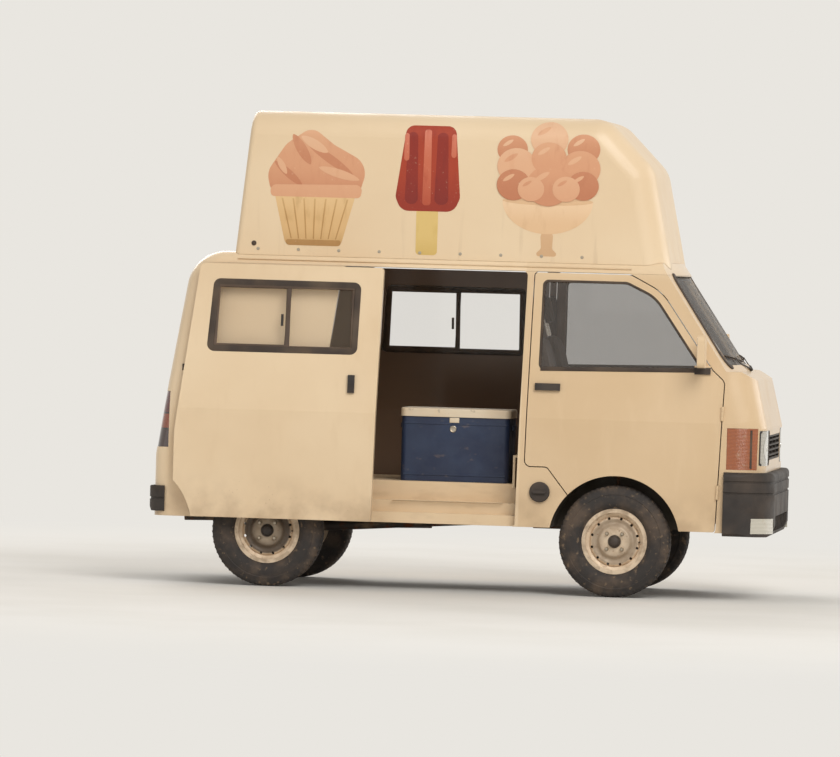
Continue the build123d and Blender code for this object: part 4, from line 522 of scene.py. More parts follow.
class Form:
    """A mesh in the making, which several solids can be added to."""

    def __init__(self):
        self.mesh = bmesh.new()

    def block(self, low, high, bevel, segments=2):
        """A box between two corners, with its edges rounded."""
        low, high = Vector(low), Vector(high)
        place = Matrix.Translation((low + high) / 2) @ Matrix.Diagonal((*(high - low), 1))
        made = bmesh.ops.create_cube(self.mesh, size=1, matrix=place)["verts"]
        edges = list({e for v in made for e in v.link_edges})
        bmesh.ops.bevel(self.mesh, geom=edges, offset=bevel, segments=segments, profile=0.5, affect="EDGES")
        return self

    def grid(self, rows, closed_rows=False, closed_columns=False):
        """Faces between rows of points, all of one length."""
        made = [[self.mesh.verts.new(point) for point in row] for row in rows]
        row_count = len(rows) if closed_rows else len(rows) - 1
        column_count = len(rows[0]) if closed_columns else len(rows[0]) - 1
        for i in range(row_count):
            here, after = made[i], made[(i + 1) % len(rows)]
            for j in range(column_count):
                k = (j + 1) % len(rows[0])
                self.mesh.faces.new((here[j], here[k], after[k], after[j]))
        return made

    def lathe(self, profile, origin, axis, steps=32):
        """Turn a profile of (radius, along) about an axis through the origin."""
        along = Vector(axis).normalized()
        first = along.orthogonal().normalized()
        second = along.cross(first)
        rows = []
        for number in range(steps):
            angle = 2 * pi * number / steps
            out = first * cos(angle) + second * sin(angle)
            rows.append([Vector(origin) + out * radius + along * far for radius, far in profile])
        made = self.grid(rows, closed_rows=True)
        for end in (0, -1):
            ring = [row[end] for row in made]
            if profile[end][0]:
                self.mesh.faces.new(ring if end else ring[::-1])
            else:
                bmesh.ops.pointmerge(self.mesh, verts=ring, merge_co=ring[0].co)
        return self

    def rod(self, start, end, radius=0.006, end_radius=None, steps=12):
        axis = Vector(end) - Vector(start)
        return self.lathe([(radius, 0), (end_radius or radius, axis.length)], start, axis, steps)

    def sweep(self, path, section, up, closed=False):
        """Carry a section along a path, kept upright to a direction or to a list of them.

        A section is a list of (across, up) points, or the width and height of a rounded bar.
        """
        section = capsule(*section) if len(section) == 2 else section
        points = [Vector(p) for p in path]
        ups = up if isinstance(up, list) else [Vector(up)] * len(points)
        rows = []
        for i, point in enumerate(points):
            before = points[i - 1] if i or closed else point
            after = points[(i + 1) % len(points)] if closed or i + 1 < len(points) else point
            ahead = (after - before).normalized()
            across = ahead.cross(ups[i]).normalized()
            top = across.cross(ahead)
            rows.append([point + across * u + top * v for u, v in section])
        made = self.grid(rows, closed_rows=closed, closed_columns=True)
        if not closed:
            self.mesh.faces.new(made[0][::-1])
            self.mesh.faces.new(made[-1])
        return self

    def lay(self, tree, starts, direction, lift, section, closed=False):
        """Sweep a section along a surface, where rays from the starts meet it."""
        hits = [meet(tree, start, direction) for start in starts]
        hits = [(point, up) for point, up in hits if point]
        return self.sweep([point + up * lift for point, up in hits], section, [up for _, up in hits], closed)

    def slab(self, outline, depth, place, cuts=()):
        """A flat outline of (u, v) points, given a thickness and put in place by a function of u, v and w.

        Cuts are planes, as a point and a normal, that divide the flat slab where its place is curved.
        """
        top = [self.mesh.verts.new((u, v, depth)) for u, v in outline]
        low = [self.mesh.verts.new((u, v, 0)) for u, v in outline]
        faces = []
        for a, b, c in tessellate_polygon([[Vector((u, v, 0)) for u, v in outline]]):
            faces.append(self.mesh.faces.new((top[a], top[b], top[c])))
            faces.append(self.mesh.faces.new((low[c], low[b], low[a])))
        for i in range(len(outline)):
            k = (i + 1) % len(outline)
            faces.append(self.mesh.faces.new((top[i], top[k], low[k], low[i])))
        parts = list({edge for face in faces for edge in face.edges}) + faces + top + low
        for point, normal in cuts:
            parts = bmesh.ops.bisect_plane(self.mesh, geom=parts, plane_co=point, plane_no=normal)["geom"]
        for part in parts:
            if isinstance(part, bmesh.types.BMVert):
                part.co = place(*part.co)
        return self

    def piece(self, name, look="black_plastic", body="root", slot=None, sharp=38):
        """Finish the mesh as a piece of the van with a material."""
        bmesh.ops.recalc_face_normals(self.mesh, faces=self.mesh.faces)
        data = bpy.data.meshes.new(name)
        self.mesh.to_mesh(data)
        self.mesh.free()
        dress(data, look, sharp)
        made = add_object(name, data)
        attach(made, body)
        return made


def rounded(corners, steps=7):
    """An outline of (u, v) points from corners of (u, v, radius)."""
    outline = []
    for i, (u, v, radius) in enumerate(corners):
        if not radius:
            outline.append((u, v))
            continue
        here = Vector((u, v))
        back = (Vector(corners[i - 1][:2]) - here).normalized()
        on = (Vector(corners[(i + 1) % len(corners)][:2]) - here).normalized()
        half = back.angle(on) / 2
        centre = here + (back + on).normalized() * (radius / sin(half))
        first = here + back * (radius / tan(half)) - centre
        last = here + on * (radius / tan(half)) - centre
        turn = first.angle_signed(last)
        for step in range(steps + 1):
            angle = -turn * step / steps
            outline.append((centre.x + first.x * cos(angle) - first.y * sin(angle),
                            centre.y + first.x * sin(angle) + first.y * cos(angle)))
    return outline


def oval(u, v, wide, high, steps, start=0, stop=360):
    """Points of an ellipse or of a stretch of one, in degrees."""
    points = []
    for number in range(steps if stop - start == 360 else steps + 1):
        angle = radians(start + (stop - start) * number / steps)
        points.append((u + wide * cos(angle), v + high * sin(angle)))
    return points


def capsule(width, height):
    """A rounded bar's section about its middle."""
    radius = min(width, height) * 0.45
    corners = ((-1, -1), (1, -1), (1, 1), (-1, 1))
    return rounded([(a * width / 2, b * height / 2, radius) for a, b in corners], 4)


def half_width(z):
    """How far the body's flat side stands from the centre line at a height."""
    return BELT_HALF_WIDTH - abs(z - BELT_HEIGHT) * (SIDE_LEAN if z > BELT_HEIGHT else SILL_LEAN)


def on_side(side, shift=(0, 0), inset=0):
    """A placing function: (x, z, proud) on the body's flat side."""

    def place(x, z, proud):
        return Vector((x + shift[0], side * (half_width(z) - inset + proud) + shift[1], z))

    return place


def surface(*names):
    """A ray target made of CAD nodes."""
    points, faces = [], []
    for name in names:
        data = NODES[name].data
        start = len(points)
        points.extend(v.co.copy() for v in data.vertices)
        faces.extend([start + i for i in p.vertices] for p in data.polygons)
    return BVHTree.FromPolygons(points, faces)


def meet(tree, start, direction):
    """Where a ray meets a surface, if it does, and the normal there, turned against the ray."""
    point, normal, _, _ = tree.ray_cast(Vector(start), Vector(direction).normalized())
    if point and normal.dot(Vector(direction)) > 0:
        normal = -normal
    return point, normal


# Directions and distances from which rays look for the van
AHEAD = Vector((1, 0, 0))
BACK = Vector((-1, 0, 0))
UP = Vector((0, 0, 1))
FAR_X = 3
FAR_Y = 2

# Nodes whose finish differs from the rest of their slot
NODE_LOOKS = {
    "headlamps": "head_lens",
    "sliding_glass": "sliding_glass",
    "front_trim_right": "mirror_trim",
    "front_trim_left": "mirror_trim",
}
NODE_SHARP = 30


def dress_nodes():
    """Give every CAD node the material of its slot, edges kept crisp."""
    for entry in SUBPARTS:
        name = entry["node"]
        look = NODE_LOOKS.get(name, entry["material_slot"])
        if look == "wheel_steel":
            look += "_rear" if name.startswith("wheel_rear") else "_front"
        dress(NODES[name].data, look, NODE_SHARP)


# Turned shapes as (radius, along) from the foot to the top
NUT_FOOT = ((0.0105, -0.002), (0.0105, 0.001), (0.0092, 0.003))
NUT = ((0.0092, 0.002), (0.0092, 0.013), (0.0075, 0.015), (0.0055, 0.015), (0.005, 0.021), (0, 0.022))
GREASE_CAP = ((0.0265, 0), (0.0265, 0.006), (0.0235, 0.01), (0.016, 0.0145), (0, 0.016))
WIPER_CAP = ((0.013, -0.012), (0.013, 0.002), (0.009, 0.006), (0, 0.0065))
ROOF_BOLT = ((0.0085, -0.001), (0.0085, 0.001), (0.0055, 0.0012), (0.005, 0.004), (0, 0.0046))
GROMMET = ((0.013, -0.001), (0.013, 0.002), (0.009, 0.004), (0, 0.0045))
BULB_SHADE = ((0.017, -0.001), (0.017, 0.0012), (0.013, 0.002), (0, 0.0024))
DIAL = ((0.046, -0.002), (0.046, 0.006), (0.041, 0.007), (0.04, 0.002), (0, 0.0018))
GAITER = ((0.055, 0), (0.05, 0.02), (0.032, 0.04), (0.03, 0.052), (0.016, 0.07), (0.008, 0.085))
GEAR_KNOB = ((0.01, -0.012), (0.02, 0), (0.024, 0.014), (0.018, 0.028), (0, 0.033))
WINDER_HUB = ((0.02, 0), (0.02, 0.008), (0.014, 0.012), (0, 0.013))
WINDER_KNOB = ((0.01, 0), (0.012, 0.01), (0.009, 0.022), (0, 0.024))
CHEST_BOSS = ((0.017, -0.001), (0.017, 0.0025), (0.0145, 0.004), (0.013, 0.003), (0, 0.0034))

# Wheels

TREAD_DEPTH = 0.006
TREAD_PITCHES = 64
LUG_STEPS = (0, 0.08, 0.6, 0.68)
LUG_DEPTH = TREAD_DEPTH * 0.8
LUG_TWIST = 1.2
TYRE_HALF = 0.0725
BEAD_RADIUS = 0.1525
# A tyre's outside as steps of (distance in from its widest point, height over the bead)
TYRE_WALL = (
    (0.0278, 0), (0.0258, 0.014), (0.016, 0.02), (0.014, 0.024), (0.008, 0.028), (0.002, 0.04), (0, 0.056),
    (0.001, 0.074), (0.003, 0.084), (0.001, 0.087), (0.002, 0.094), (0.005, 0.099))
TYRE_SHOULDER = ((0.006, 0.108), (0.01, 0.12), (0.0185, 0.1285), (0.0265, 0.1315))
# Grooves as outer edge, inner edge, and whether the outer edge belongs to a lug
GROOVES = ((0.034, 0.028, True), (0.01, 0.004, False))
TYRE_INSIDE = (
    (0.03, BEAD_RADIUS, False), (TYRE_HALF - 0.014, BEAD_RADIUS + 0.055, False), (0.04, 0.262, False))
NUT_COUNT = 4
NUT_CIRCLE = 0.055


def tyre_ring():
    """A tyre's closed section as (across, radius, whether it belongs to a lug)."""
    half = []
    for steps, lug in ((TYRE_WALL, False), (TYRE_SHOULDER, True)):
        half += [(TYRE_HALF - inward, BEAD_RADIUS + rise, lug) for inward, rise in steps]
    floor = TYRE_RADIUS - TREAD_DEPTH
    for outer, inner, lug in GROOVES:
        half += [(outer, TYRE_RADIUS, lug), (outer - 0.001, floor, False)]
        half += [(inner + 0.001, floor, False), (inner, TYRE_RADIUS, False)]
    ring = half + [(-y, r, lug) for y, r, lug in reversed(half)]
    return ring + [(-y, r, lug) for y, r, lug in TYRE_INSIDE] + list(reversed(TYRE_INSIDE))


def make_tyre(name, body, axle_x, side):
    """A tyre with a ribbed tread, shoulder lugs and plain rings on its walls."""
    rows = []
    for number in range(TREAD_PITCHES * len(LUG_STEPS)):
        pitch, step = divmod(number, len(LUG_STEPS))
        angle = 2 * pi * (pitch + LUG_STEPS[step]) / TREAD_PITCHES
        row = []
        for across, radius, lug in tyre_ring():
            twist = angle + across * LUG_TWIST * lug
            if lug and step > 1:
                radius -= LUG_DEPTH
            y, z = side * WHEEL_Y + across, TYRE_RADIUS + radius * sin(twist)
            row.append((axle_x + radius * cos(twist), y, z))
        rows.append(row)
    form = Form()
    form.grid(rows, closed_rows=True, closed_columns=True)
    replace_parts(form.piece(name + "_tread", "tyre_rubber", body), name)


def make_wheel_details(body, axle_x, side):
    """Nuts on the disc, a grease cap and the valve."""
    out = Vector((0, side, 0))
    hub = Vector((axle_x, side * WHEEL_Y, TYRE_RADIUS))
    nuts = Form()
    for number in range(NUT_COUNT):
        angle = pi / 4 + number * 2 * pi / NUT_COUNT
        start = hub + out * 0.04 + Vector((NUT_CIRCLE * cos(angle), 0, NUT_CIRCLE * sin(angle)))
        nuts.lathe(NUT_FOOT, start, out, 20)
        nuts.lathe(NUT, start, out, 6)
    nuts.piece(body + "_nuts", "zinc", body)
    Form().lathe(GREASE_CAP, hub + out * 0.0535, out).piece(body + "_grease_cap", body=body)
    start = hub + out * 0.012 + AHEAD * 0.128
    valve = Form().rod(start, start + out * 0.03 + BACK * 0.004, 0.0035, 0.003)
    valve.piece(body + "_valve", "seal_rubber", body)


def make_wheels(name, side):
    for end, axle_x in (("front_", FRONT_AXLE_X), ("rear_", REAR_AXLE_X)):
        body = "wheel_" + end + name + "_body"
        make_tyre("tyre_" + end + name, body, axle_x, side)
        make_wheel_details(body, axle_x, side)


# Windows and seals

PANE_LOW, PANE_HIGH, PANE_ROUND = 1.212, 1.541, 0.022
# Sliding panes as left x, right x, gap to the edge, frame section, depth
SLIDE_PANES = (
    (-0.56, SLIDE_BAR_X + 0.012, 0.01, (0.024, 0.008), 0.0065),
    (SLIDE_BAR_X - 0.012, 0.166, 0.008, (0.018, 0.007), 0.0068),
)
WIPER_LIFT = 0.011
# Screens as name, corners, panel round the glass, glass, start and direction of the rays, body
SCREENS = (
    ("screen", SCREEN, "front_panel", "windscreen", FAR_X, BACK, "root"),
    ("rear_window", REAR_WINDOW, "tailgate", "tailgate_glass", -FAR_X, AHEAD, "tailgate_body"),
)


def loop_on_side(form, corners, side, section, depth, shift=(0, 0)):
    """A closed strip along rounded corners on the body's flat side, sunk below the skin by a depth."""
    place = on_side(side, shift, depth)
    path = [place(x, z, 0) for x, z in rounded(corners)]
    form.sweep(path, section, (0, side, 0), closed=True)


def inset(corners, gap):
    """Corners of (u, v, radius) pulled in towards their middle by about a gap on each side."""
    middle_u = sum(c[0] for c in corners) / len(corners)
    middle_v = sum(c[1] for c in corners) / len(corners)
    return [(u - copysign(gap, u - middle_u), v - copysign(gap, v - middle_v), max(radius - gap, 0.004))
            for u, v, radius in corners]


def make_side_windows(name, side):
    shift = SLIDE_SHIFT if name == "right" else (0, 0)
    seal = Form()
    loop_on_side(seal, inset(SLIDE_WINDOW, 0.008), side, (0.034, 0.012), 0.004, shift)
    seal.piece("sliding_seal_" + name, "seal_rubber")
    # The rear pane stands in a frame of its own that slides behind the front one
    frames = Form()
    for left, right, gap, section, depth in SLIDE_PANES:
        corners = [(x, z, PANE_ROUND) for x, z in (
            (left, PANE_LOW), (left + 0.012, PANE_HIGH), (right, PANE_HIGH), (right, PANE_LOW))]
        loop_on_side(frames, inset(corners, gap), side, section, depth, shift)
    place = on_side(side, shift)
    # A dark rubber strip along the top of the panes, which is also a painted shadow of the frame on the panel
    # behind
    frames.sweep([place(x, 1.533, -0.0035) for x in (-0.54, 0.17)], (0.007, 0.022), UP)
    frames.piece("sliding_frames_" + name, "dash_brown")
    latch_path = [place(SLIDE_BAR_X - 0.026, z, 0) for z in (1.33, 1.39)]
    Form().sweep(latch_path, (0.013, 0.007), (0, side, 0)).piece("sliding_latch_" + name)

    seal = Form()
    loop_on_side(seal, FRONT_WINDOW, side, (0.015, 0.01), 0.0045)
    place = on_side(side)
    strip = [place(x, 1.1515 + (x - 0.4) * 0.017, 0.0005) for x in (0.396, 0.6, 0.8, 1, 1.214)]
    seal.sweep(strip, (0.01, 0.022), UP)
    seal.piece("front_seal_" + name, "seal_rubber", "front_door_" + name + "_body")


def make_screen_seals():
    """Rubber round the windscreen and the rear window, and a black border printed on the glass."""
    for name, corners, panel, glass, start_x, direction, body in SCREENS:
        middle = (corners[0][1] + corners[1][1]) / 2
        for part, node, stretch, rise, lift, thickness in (
                ("_seal", panel, 1.018, 0.01, 0.001, 0.012),
                ("_border", glass, 0.972, -0.013, 0.0007, 0.0012)):
            starts = [(start_x, y * stretch, z + rise * copysign(1, z - middle))
                      for y, z in rounded(corners, 9)]
            strip = Form().lay(surface(node), starts, direction, lift, (0.024, thickness), closed=True)
            strip.piece(name + part, "seal_rubber", body)


def make_wipers():
    """Two wipers that rest along the foot of the windscreen."""
    tree = surface("windscreen", "front_panel")
    for name, pivot_y, tip_y in (("right", -0.02, -0.46), ("left", 0.46, 0.02)):
        starts = [(FAR_X, pivot_y, 1.17), (FAR_X, (pivot_y + tip_y) / 2, 1.196), (FAR_X, tip_y + 0.18, 1.222)]
        point, up = meet(tree, starts[0], BACK)
        arm = Form().lay(tree, starts, BACK, WIPER_LIFT, (0.01, 0.005))
        arm.lathe(WIPER_CAP, point + up * WIPER_LIFT, up, 20).piece("wiper_arm_" + name)
        starts = [(FAR_X, pivot_y - 0.03 + (tip_y - pivot_y) * i / 8, 1.208 + 0.004 * i) for i in range(9)]
        Form().lay(tree, starts, BACK, 0.0055, (0.004, 0.009)).piece("wiper_blade_" + name, "seal_rubber")


# Outside trim

GUTTER_SECTION = (
    (-0.004, -0.004), (0.005, -0.004), (0.005, 0.005), (0.003, 0.005), (0.003, -0.001), (-0.004, -0.001))
LAMP_FRAME = ((0.411, 0.696), (0.411, 0.862), (0.636, 0.862), (0.636, 0.696))


def make_gutters(name, side):
    """A drip rail over each side's doors."""
    tree = surface("side_panel_" + name, "roof_panel", "front_panel")
    starts = [(-1.18 + 2.02 * i / 30, side * FAR_Y, 1.668) for i in range(31)]
    strip = Form().lay(tree, starts, (0, -side, 0), 0.0035, GUTTER_SECTION)
    strip.piece("gutter_" + name, "body_paint")


def make_roof_base(name, side):
    """A row of bolts along the foot of the raised roof, and a cable's grommet."""
    tree = surface("raised_roof")
    bolts = Form()
    for number in range(9):
        start = (-1.08 + number * 0.208, side * FAR_Y, 1.722)
        bolts.lathe(ROOF_BOLT, *meet(tree, start, (0, -side, 0)), 12)
    bolts.piece("roof_bolts_" + name, "zinc")
    spot = Form().lathe(GROMMET, *meet(tree, (-1.102, side * FAR_Y, 1.749), (0, -side, 0)), 20)
    spot.piece("cable_grommet_" + name, "seal_rubber")


def make_lamps(name, side):
    """A dark frame and a bulb shade on each headlamp, and a dividing line on each corner lamp."""
    lens = surface("headlamps")
    middle_y, middle_z = HEAD_LAMP_MIDDLE
    outline = rounded([(side * y, z, 0.01) for y, z in LAMP_FRAME], 5)
    starts = [(FAR_X, y, z) for y, z in outline]
    edge = Form().lay(lens, starts, BACK, 0.001, (0.011, 0.005), closed=True)
    edge.piece("lamp_frame_" + name)
    shade = Form().lathe(BULB_SHADE, *meet(lens, (FAR_X, side * middle_y, middle_z), BACK), 28)
    shade.piece("lamp_shade_" + name, "reflector")
    starts = [(1.478, side * FAR_Y, 0.676 + 0.194 * i / 6) for i in range(7)]
    line = Form().lay(surface("corner_lamps"), starts, (0, -side, 0), 0.0005, (0.012, 0.003))
    line.piece("corner_lamp_line_" + name, "seal_rubber")


# Inside

SEAT_MIDDLE = 0.33
SEAT_HALF = 0.222
BACK_FOOT = Vector((0.452, 0, 0.85))
BACK_HEAD = Vector((0.338, 0, 1.33))
CHANNELS = (-0.4, 0, 0.4)
CHANNEL_WIDTH = 0.007
CHANNEL_DEPTH = 0.012
PAD_LIMIT = 0.012
PAD_VOXEL = 0.008
PAD_PRESSURE = 4
PAD_FRAMES = 15
PAD_STEPS = 28


def squared(value, power):
    return copysign(abs(value) ** power, value)


def rounded_block(centre, axes, halves):
    """A soft block: a ball pushed out towards its box's corners."""
    rows = []
    for i in range(PAD_STEPS + 1):
        polar = pi * (i / PAD_STEPS - 0.5)
        row = []
        for j in range(PAD_STEPS * 2):
            turn = pi * j / PAD_STEPS
            u = squared(cos(polar), 0.45) * squared(cos(turn), 0.45)
            v = squared(cos(polar), 0.45) * squared(sin(turn), 0.45)
            w = squared(sin(polar), 0.65)
            row.append(centre + axes[0] * u * halves[0] + axes[1] * v * halves[1] + axes[2] * w * halves[2])
        rows.append(row)
    form = Form()
    made = form.grid(rows, closed_columns=True)
    for ring in (made[0], made[-1]):
        bmesh.ops.pointmerge(form.mesh, verts=ring, merge_co=ring[0].co)
    bmesh.ops.recalc_face_normals(form.mesh, faces=form.mesh.faces)
    return form


def evaluated_mesh(piece):
    return bpy.data.meshes.new_from_object(piece.evaluated_get(bpy.context.evaluated_depsgraph_get()))


def inflated(data):
    """Blow a closed mesh up as cloth, moving no point further than a limit."""
    piece = add_object("pad", data)
    remesh = piece.modifiers.new("even", "REMESH")
    remesh.mode = "VOXEL"
    remesh.voxel_size = PAD_VOXEL
    even = evaluated_mesh(piece)
    piece.modifiers.clear()
    piece.data = even
    before = [v.co.copy() for v in even.vertices]
    cloth = piece.modifiers.new("cloth", "CLOTH")
    cloth.settings.use_pressure = True
    cloth.settings.uniform_pressure_force = PAD_PRESSURE
    cloth.settings.effector_weights.gravity = 0
    for number in range(1, PAD_FRAMES + 1):
        bpy.context.scene.frame_set(number)
    after = evaluated_mesh(piece)
    bpy.context.scene.frame_set(1)
    for vertex, start in zip(after.vertices, before):
        move = vertex.co - start
        if move.length > PAD_LIMIT:
            vertex.co = start + move * (PAD_LIMIT / move.length)
    bpy.data.objects.remove(piece)
    return after


def sew(data, centre, axes, halves):
    """Press the channels into a pad's face and keep every point within the pad's box."""
    for vertex in data.vertices:
        offset = vertex.co - centre
        u, v, w = (offset.dot(axis) / half for axis, half in zip(axes, halves))
        groove = sum(exp(-(((u - line) * halves[0]) / CHANNEL_WIDTH) ** 2) for line in CHANNELS)
        edge = max(0, 1 - abs(v) ** 8)
        if w > 0.2:
            vertex.co -= axes[2] * (CHANNEL_DEPTH * min(groove, 1) * edge)
        for axis, share, half in zip(axes, (u, v, w), halves):
            if abs(share) > 1:
                vertex.co -= axis * ((abs(share) - 1) * half * copysign(1, share))


def make_piping(name, pad, centre, axes, halves):
    """A cord round a pad, laid on it where rays from outside meet it."""
    tree = BVHTree.FromPolygons([v.co for v in pad.vertices], [list(p.vertices) for p in pad.polygons])
    corner = min(halves[0], halves[1]) * 0.3
    half_u, half_v = halves[0] - 0.01, halves[1] - 0.01
    corners = [(-half_u, -half_v, corner), (-half_u, half_v, corner), (half_u, half_v, corner),
               (half_u, -half_v, corner)]
    level = centre + axes[2] * (halves[2] * 0.42)
    path = []
    for u, v in rounded(corners, 8):
        out = axes[0] * u + axes[1] * v
        path.append(meet(tree, level + out * 1.5, -out)[0])
    cord = Form().sweep(path, oval(0, 0, 0.0035, 0.0035, 8), axes[2], closed=True)
    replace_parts(cord.piece(name + "_piping", "seal_rubber"), "seats")


def make_pad(name, centre, axes, halves):
    """A cushion about a centre: across, along and out through its face, puffed up and then sewn."""
    form = rounded_block(centre, axes, (halves[0] - 0.008, halves[1] - 0.008, halves[2] - 0.012))
    data = bpy.data.meshes.new(name)
    form.mesh.to_mesh(data)
    form.mesh.free()
    data = inflated(data)
    sew(data, centre, axes, halves)
    form = Form()
    form.mesh.from_mesh(data)
    made = form.piece(name, "seat_cover", sharp=75)
    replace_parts(made, "seats")
    make_piping(name, made.data, centre, axes, halves)


def make_seats(name, side):
    """Two seats: a cushion, a back and a head rest each, and the head rest's posts."""
    lean = (BACK_HEAD - BACK_FOOT).normalized()
    across = Vector((0, 1, 0))
    flat = (across, AHEAD, UP)
    upright = (across, lean, across.cross(lean))
    for part, x, z, axes, halves in (
            ("seat_cushion_", 0.635, 0.7705, flat, (SEAT_HALF, 0.232, 0.0645)),
            ("seat_back_", 0.397, 1.094, upright, (SEAT_HALF, 0.243, 0.05)),
            ("head_rest_", 0.325, 1.448, upright, (0.126, 0.08, 0.034))):
        make_pad(part + name, Vector((x, side * SEAT_MIDDLE, z)), axes, halves)
    posts = Form()
    for offset in (-0.055, 0.055):
        start = Vector((0.34, side * SEAT_MIDDLE + offset, 1.3))
        posts.rod(start, start + lean * 0.115)
    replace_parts(posts.piece("head_posts_" + name, "chrome"), "seats")


def make_seat_belts(name, side):
    """A belt down each door pillar, with its anchor."""
    points = ((0.333, 0.6, 0.8), (0.331, 0.592, 1), (0.329, 0.583, 1.25), (0.328, 0.573, 1.5))
    belt = Form().sweep([(x, side * y, z) for x, y, z in points], (0.0016, 0.046), AHEAD)
    belt.piece("belt_" + name, "seal_rubber")
    anchor = Form().rod((0.328, side * 0.58, 1.5), (0.328, side * 0.562, 1.5), 0.02, 0.015, 24)
    anchor.piece("belt_anchor_" + name)


def make_dashboard():
    """Instruments, vents, the line of the glove box and the stalks."""
    tree = surface("dashboard")
    start_x = 0.6
    dials = Form()
    for y in (0.395, 0.285):
        dials.lathe(DIAL, *meet(tree, (start_x, y, 1.062), AHEAD), 36)
    dials.piece("dials")
    vents = Form()
    for y in (-0.46, -0.08, 0.08, 0.515):
        for row in range(5):
            point, _ = meet(tree, (start_x, y, 0.955 + row * 0.012), AHEAD)
            vents.block(point - Vector((0.004, 0.04, 0.003)), point + Vector((0.003, 0.04, 0.003)), 0.001)
    vents.piece("dash_vents")
    corners = [(y, z, 0.015) for y, z in ((-0.42, 0.865), (-0.42, 0.935), (-0.14, 0.935), (-0.14, 0.865))]
    starts = [(start_x, y, z) for y, z in rounded(corners, 5)]
    line = Form().lay(tree, starts, AHEAD, 0.0005, (0.004, 0.002), closed=True)
    line.piece("glove_box_line", "seal_rubber")
    stalks = Form()
    for tip_y in (0.47, 0.2):
        stalks.rod((1.15, 0.335, 1.02), (1.135, tip_y, 1.035), end_radius=0.008)
    stalks.piece("steering_stalks")


def make_cab_controls():
    """Pedals, a gear lever with its gaiter, and the handbrake between the seats."""
    pedals = Form()
    for y, width in ((0.42, 0.026), (0.33, 0.026), (0.25, 0.02)):
        pedals.rod((1.255, y, 0.76), (1.165, y, 0.6), steps=10)
        pedals.block((1.15, y - width, 0.575), (1.162, y + width, 0.64), 0.003)
    pedals.piece("pedals")
    foot, top, lean = (0.985, 0.075, 0.5), (0.935, 0.075, 0.85), (-0.14, 0, 0.99)
    lever = Form().rod(foot, top)
    lever.lathe(GAITER, (0.985, 0.075, 0.5005), lean, 28)
    lever.lathe(GEAR_KNOB, top, lean, 24).piece("gear_lever")
    path = ((0.6, 0, 0.7095), (0.66, 0, 0.735), (0.76, 0, 0.77), (0.83, 0, 0.79))
    Form().sweep(path, (0.026, 0.024), UP).piece("handbrake")


DOOR_CARD = (
    (0.4, 0.7, 0.03), (0.392, 1.11, 0.03), (1.19, 1.11, 0.03), (1.215, 0.745, 0.05), (1.12, 0.7, 0.03))
ARM_REST = ((0.52, 0), (0.64, 0.004), (0.78, 0.01), (0.88, 0.03))


def make_door_cards(name, side):
    """A trim panel, an arm rest and a window winder inside each front door."""
    winder = Vector((-0.05, 0, -0.07))
    body = "front_door_" + name + "_body"
    place = on_side(side, inset=WALL)
    card = Form().slab(rounded(DOOR_CARD, 6), -0.004, on_side(side, inset=WALL + 0.0004))
    card.piece("door_card_" + name, "door_card", body)
    path = [place(x, 0.905 + rise, -0.024) for x, rise in ARM_REST]
    rest = Form().sweep(path, (0.04, 0.03), UP)
    hub = place(0.96, 0.86, -0.004)
    inward = Vector((0, -side, 0))
    rest.lathe(WINDER_HUB, hub, inward, 24)
    rest.rod(hub + inward * 0.01, hub + inward * 0.022 + winder)
    rest.lathe(WINDER_KNOB, hub + inward * 0.02 + winder, inward, 18)
    rest.piece("door_furniture_" + name, body=body)


def make_cab_roof_fittings():
    """Sun visors and the inner mirror below the header."""
    visors = Form()
    for side in (-1, 1):
        corners = [(side * u, v, radius) for u, v, radius in (
            (0.1, 0, 0.02), (0.44, 0, 0.03), (0.46, 0.12, 0.03), (0.1, 0.12, 0.03))]
        visors.slab(rounded(corners, 6), 0.014, lambda y, v, w: Vector((
            0.935 - v * 0.8 + w * 0.5, y, 1.6 + v * 0.12 - w * 0.85)))
    visors.piece("sun_visors", "light_trim")
    mirror = Form().block((0.955, -0.115, 1.485), (0.972, 0.115, 1.545), 0.007, 3)
    mirror.rod((0.968, 0, 1.54), (0.985, 0, 1.6)).piece("inner_mirror")


def make_chest_details():
    """A moulded boss, a latch and two ribs on the ice chest."""
    Form().lathe(CHEST_BOSS, (-0.066, -0.4525, 0.826), (0, -1, 0)).piece("chest_boss", "zinc")
    latch = Form().block((-0.085, -0.4575, 0.858), (-0.035, -0.452, 0.884), 0.002)
    latch.piece("chest_latch", "lid_white")
    ribs = Form()
    for z in (0.59, 0.852):
        ribs.sweep([(-0.318, -0.4528, z), (0.209, -0.4528, z)], (0.0022, 0.01), UP)
    ribs.piece("chest_ribs", "chest_blue")


def make_mirror_glass(name, side):
    y = side * 0.786
    glass = Form().block((1.2028, y - 0.056, 1.186), (1.2046, y + 0.056, 1.334), 0.0006)
    glass.piece("mirror_glass_" + name, "chrome", "front_door_" + name + "_body")


def make_tailgate_catch():
    point, _ = meet(surface("tailgate"), (-FAR_X, 0, 0.77), AHEAD)
    catch = Form().block(point - Vector((0.012, 0.06, 0.016)), point + Vector((0.001, 0.06, 0.016)), 0.004, 3)
    catch.piece("tailgate_catch", body="tailgate_body")


def make_step_treads():
    """Ribs pressed into the step so that feet grip."""
    ribs = Form()
    for number in range(5):
        y = -0.628 + number * 0.0115
        ribs.sweep([(-0.35, y, 0.4605), (0.215, y, 0.4605)], (0.0045, 0.003), UP)
    ribs.piece("step_ribs", "inner_paint")


# Pictures on the raised roof

PICTURE_PROUD = 0.00035

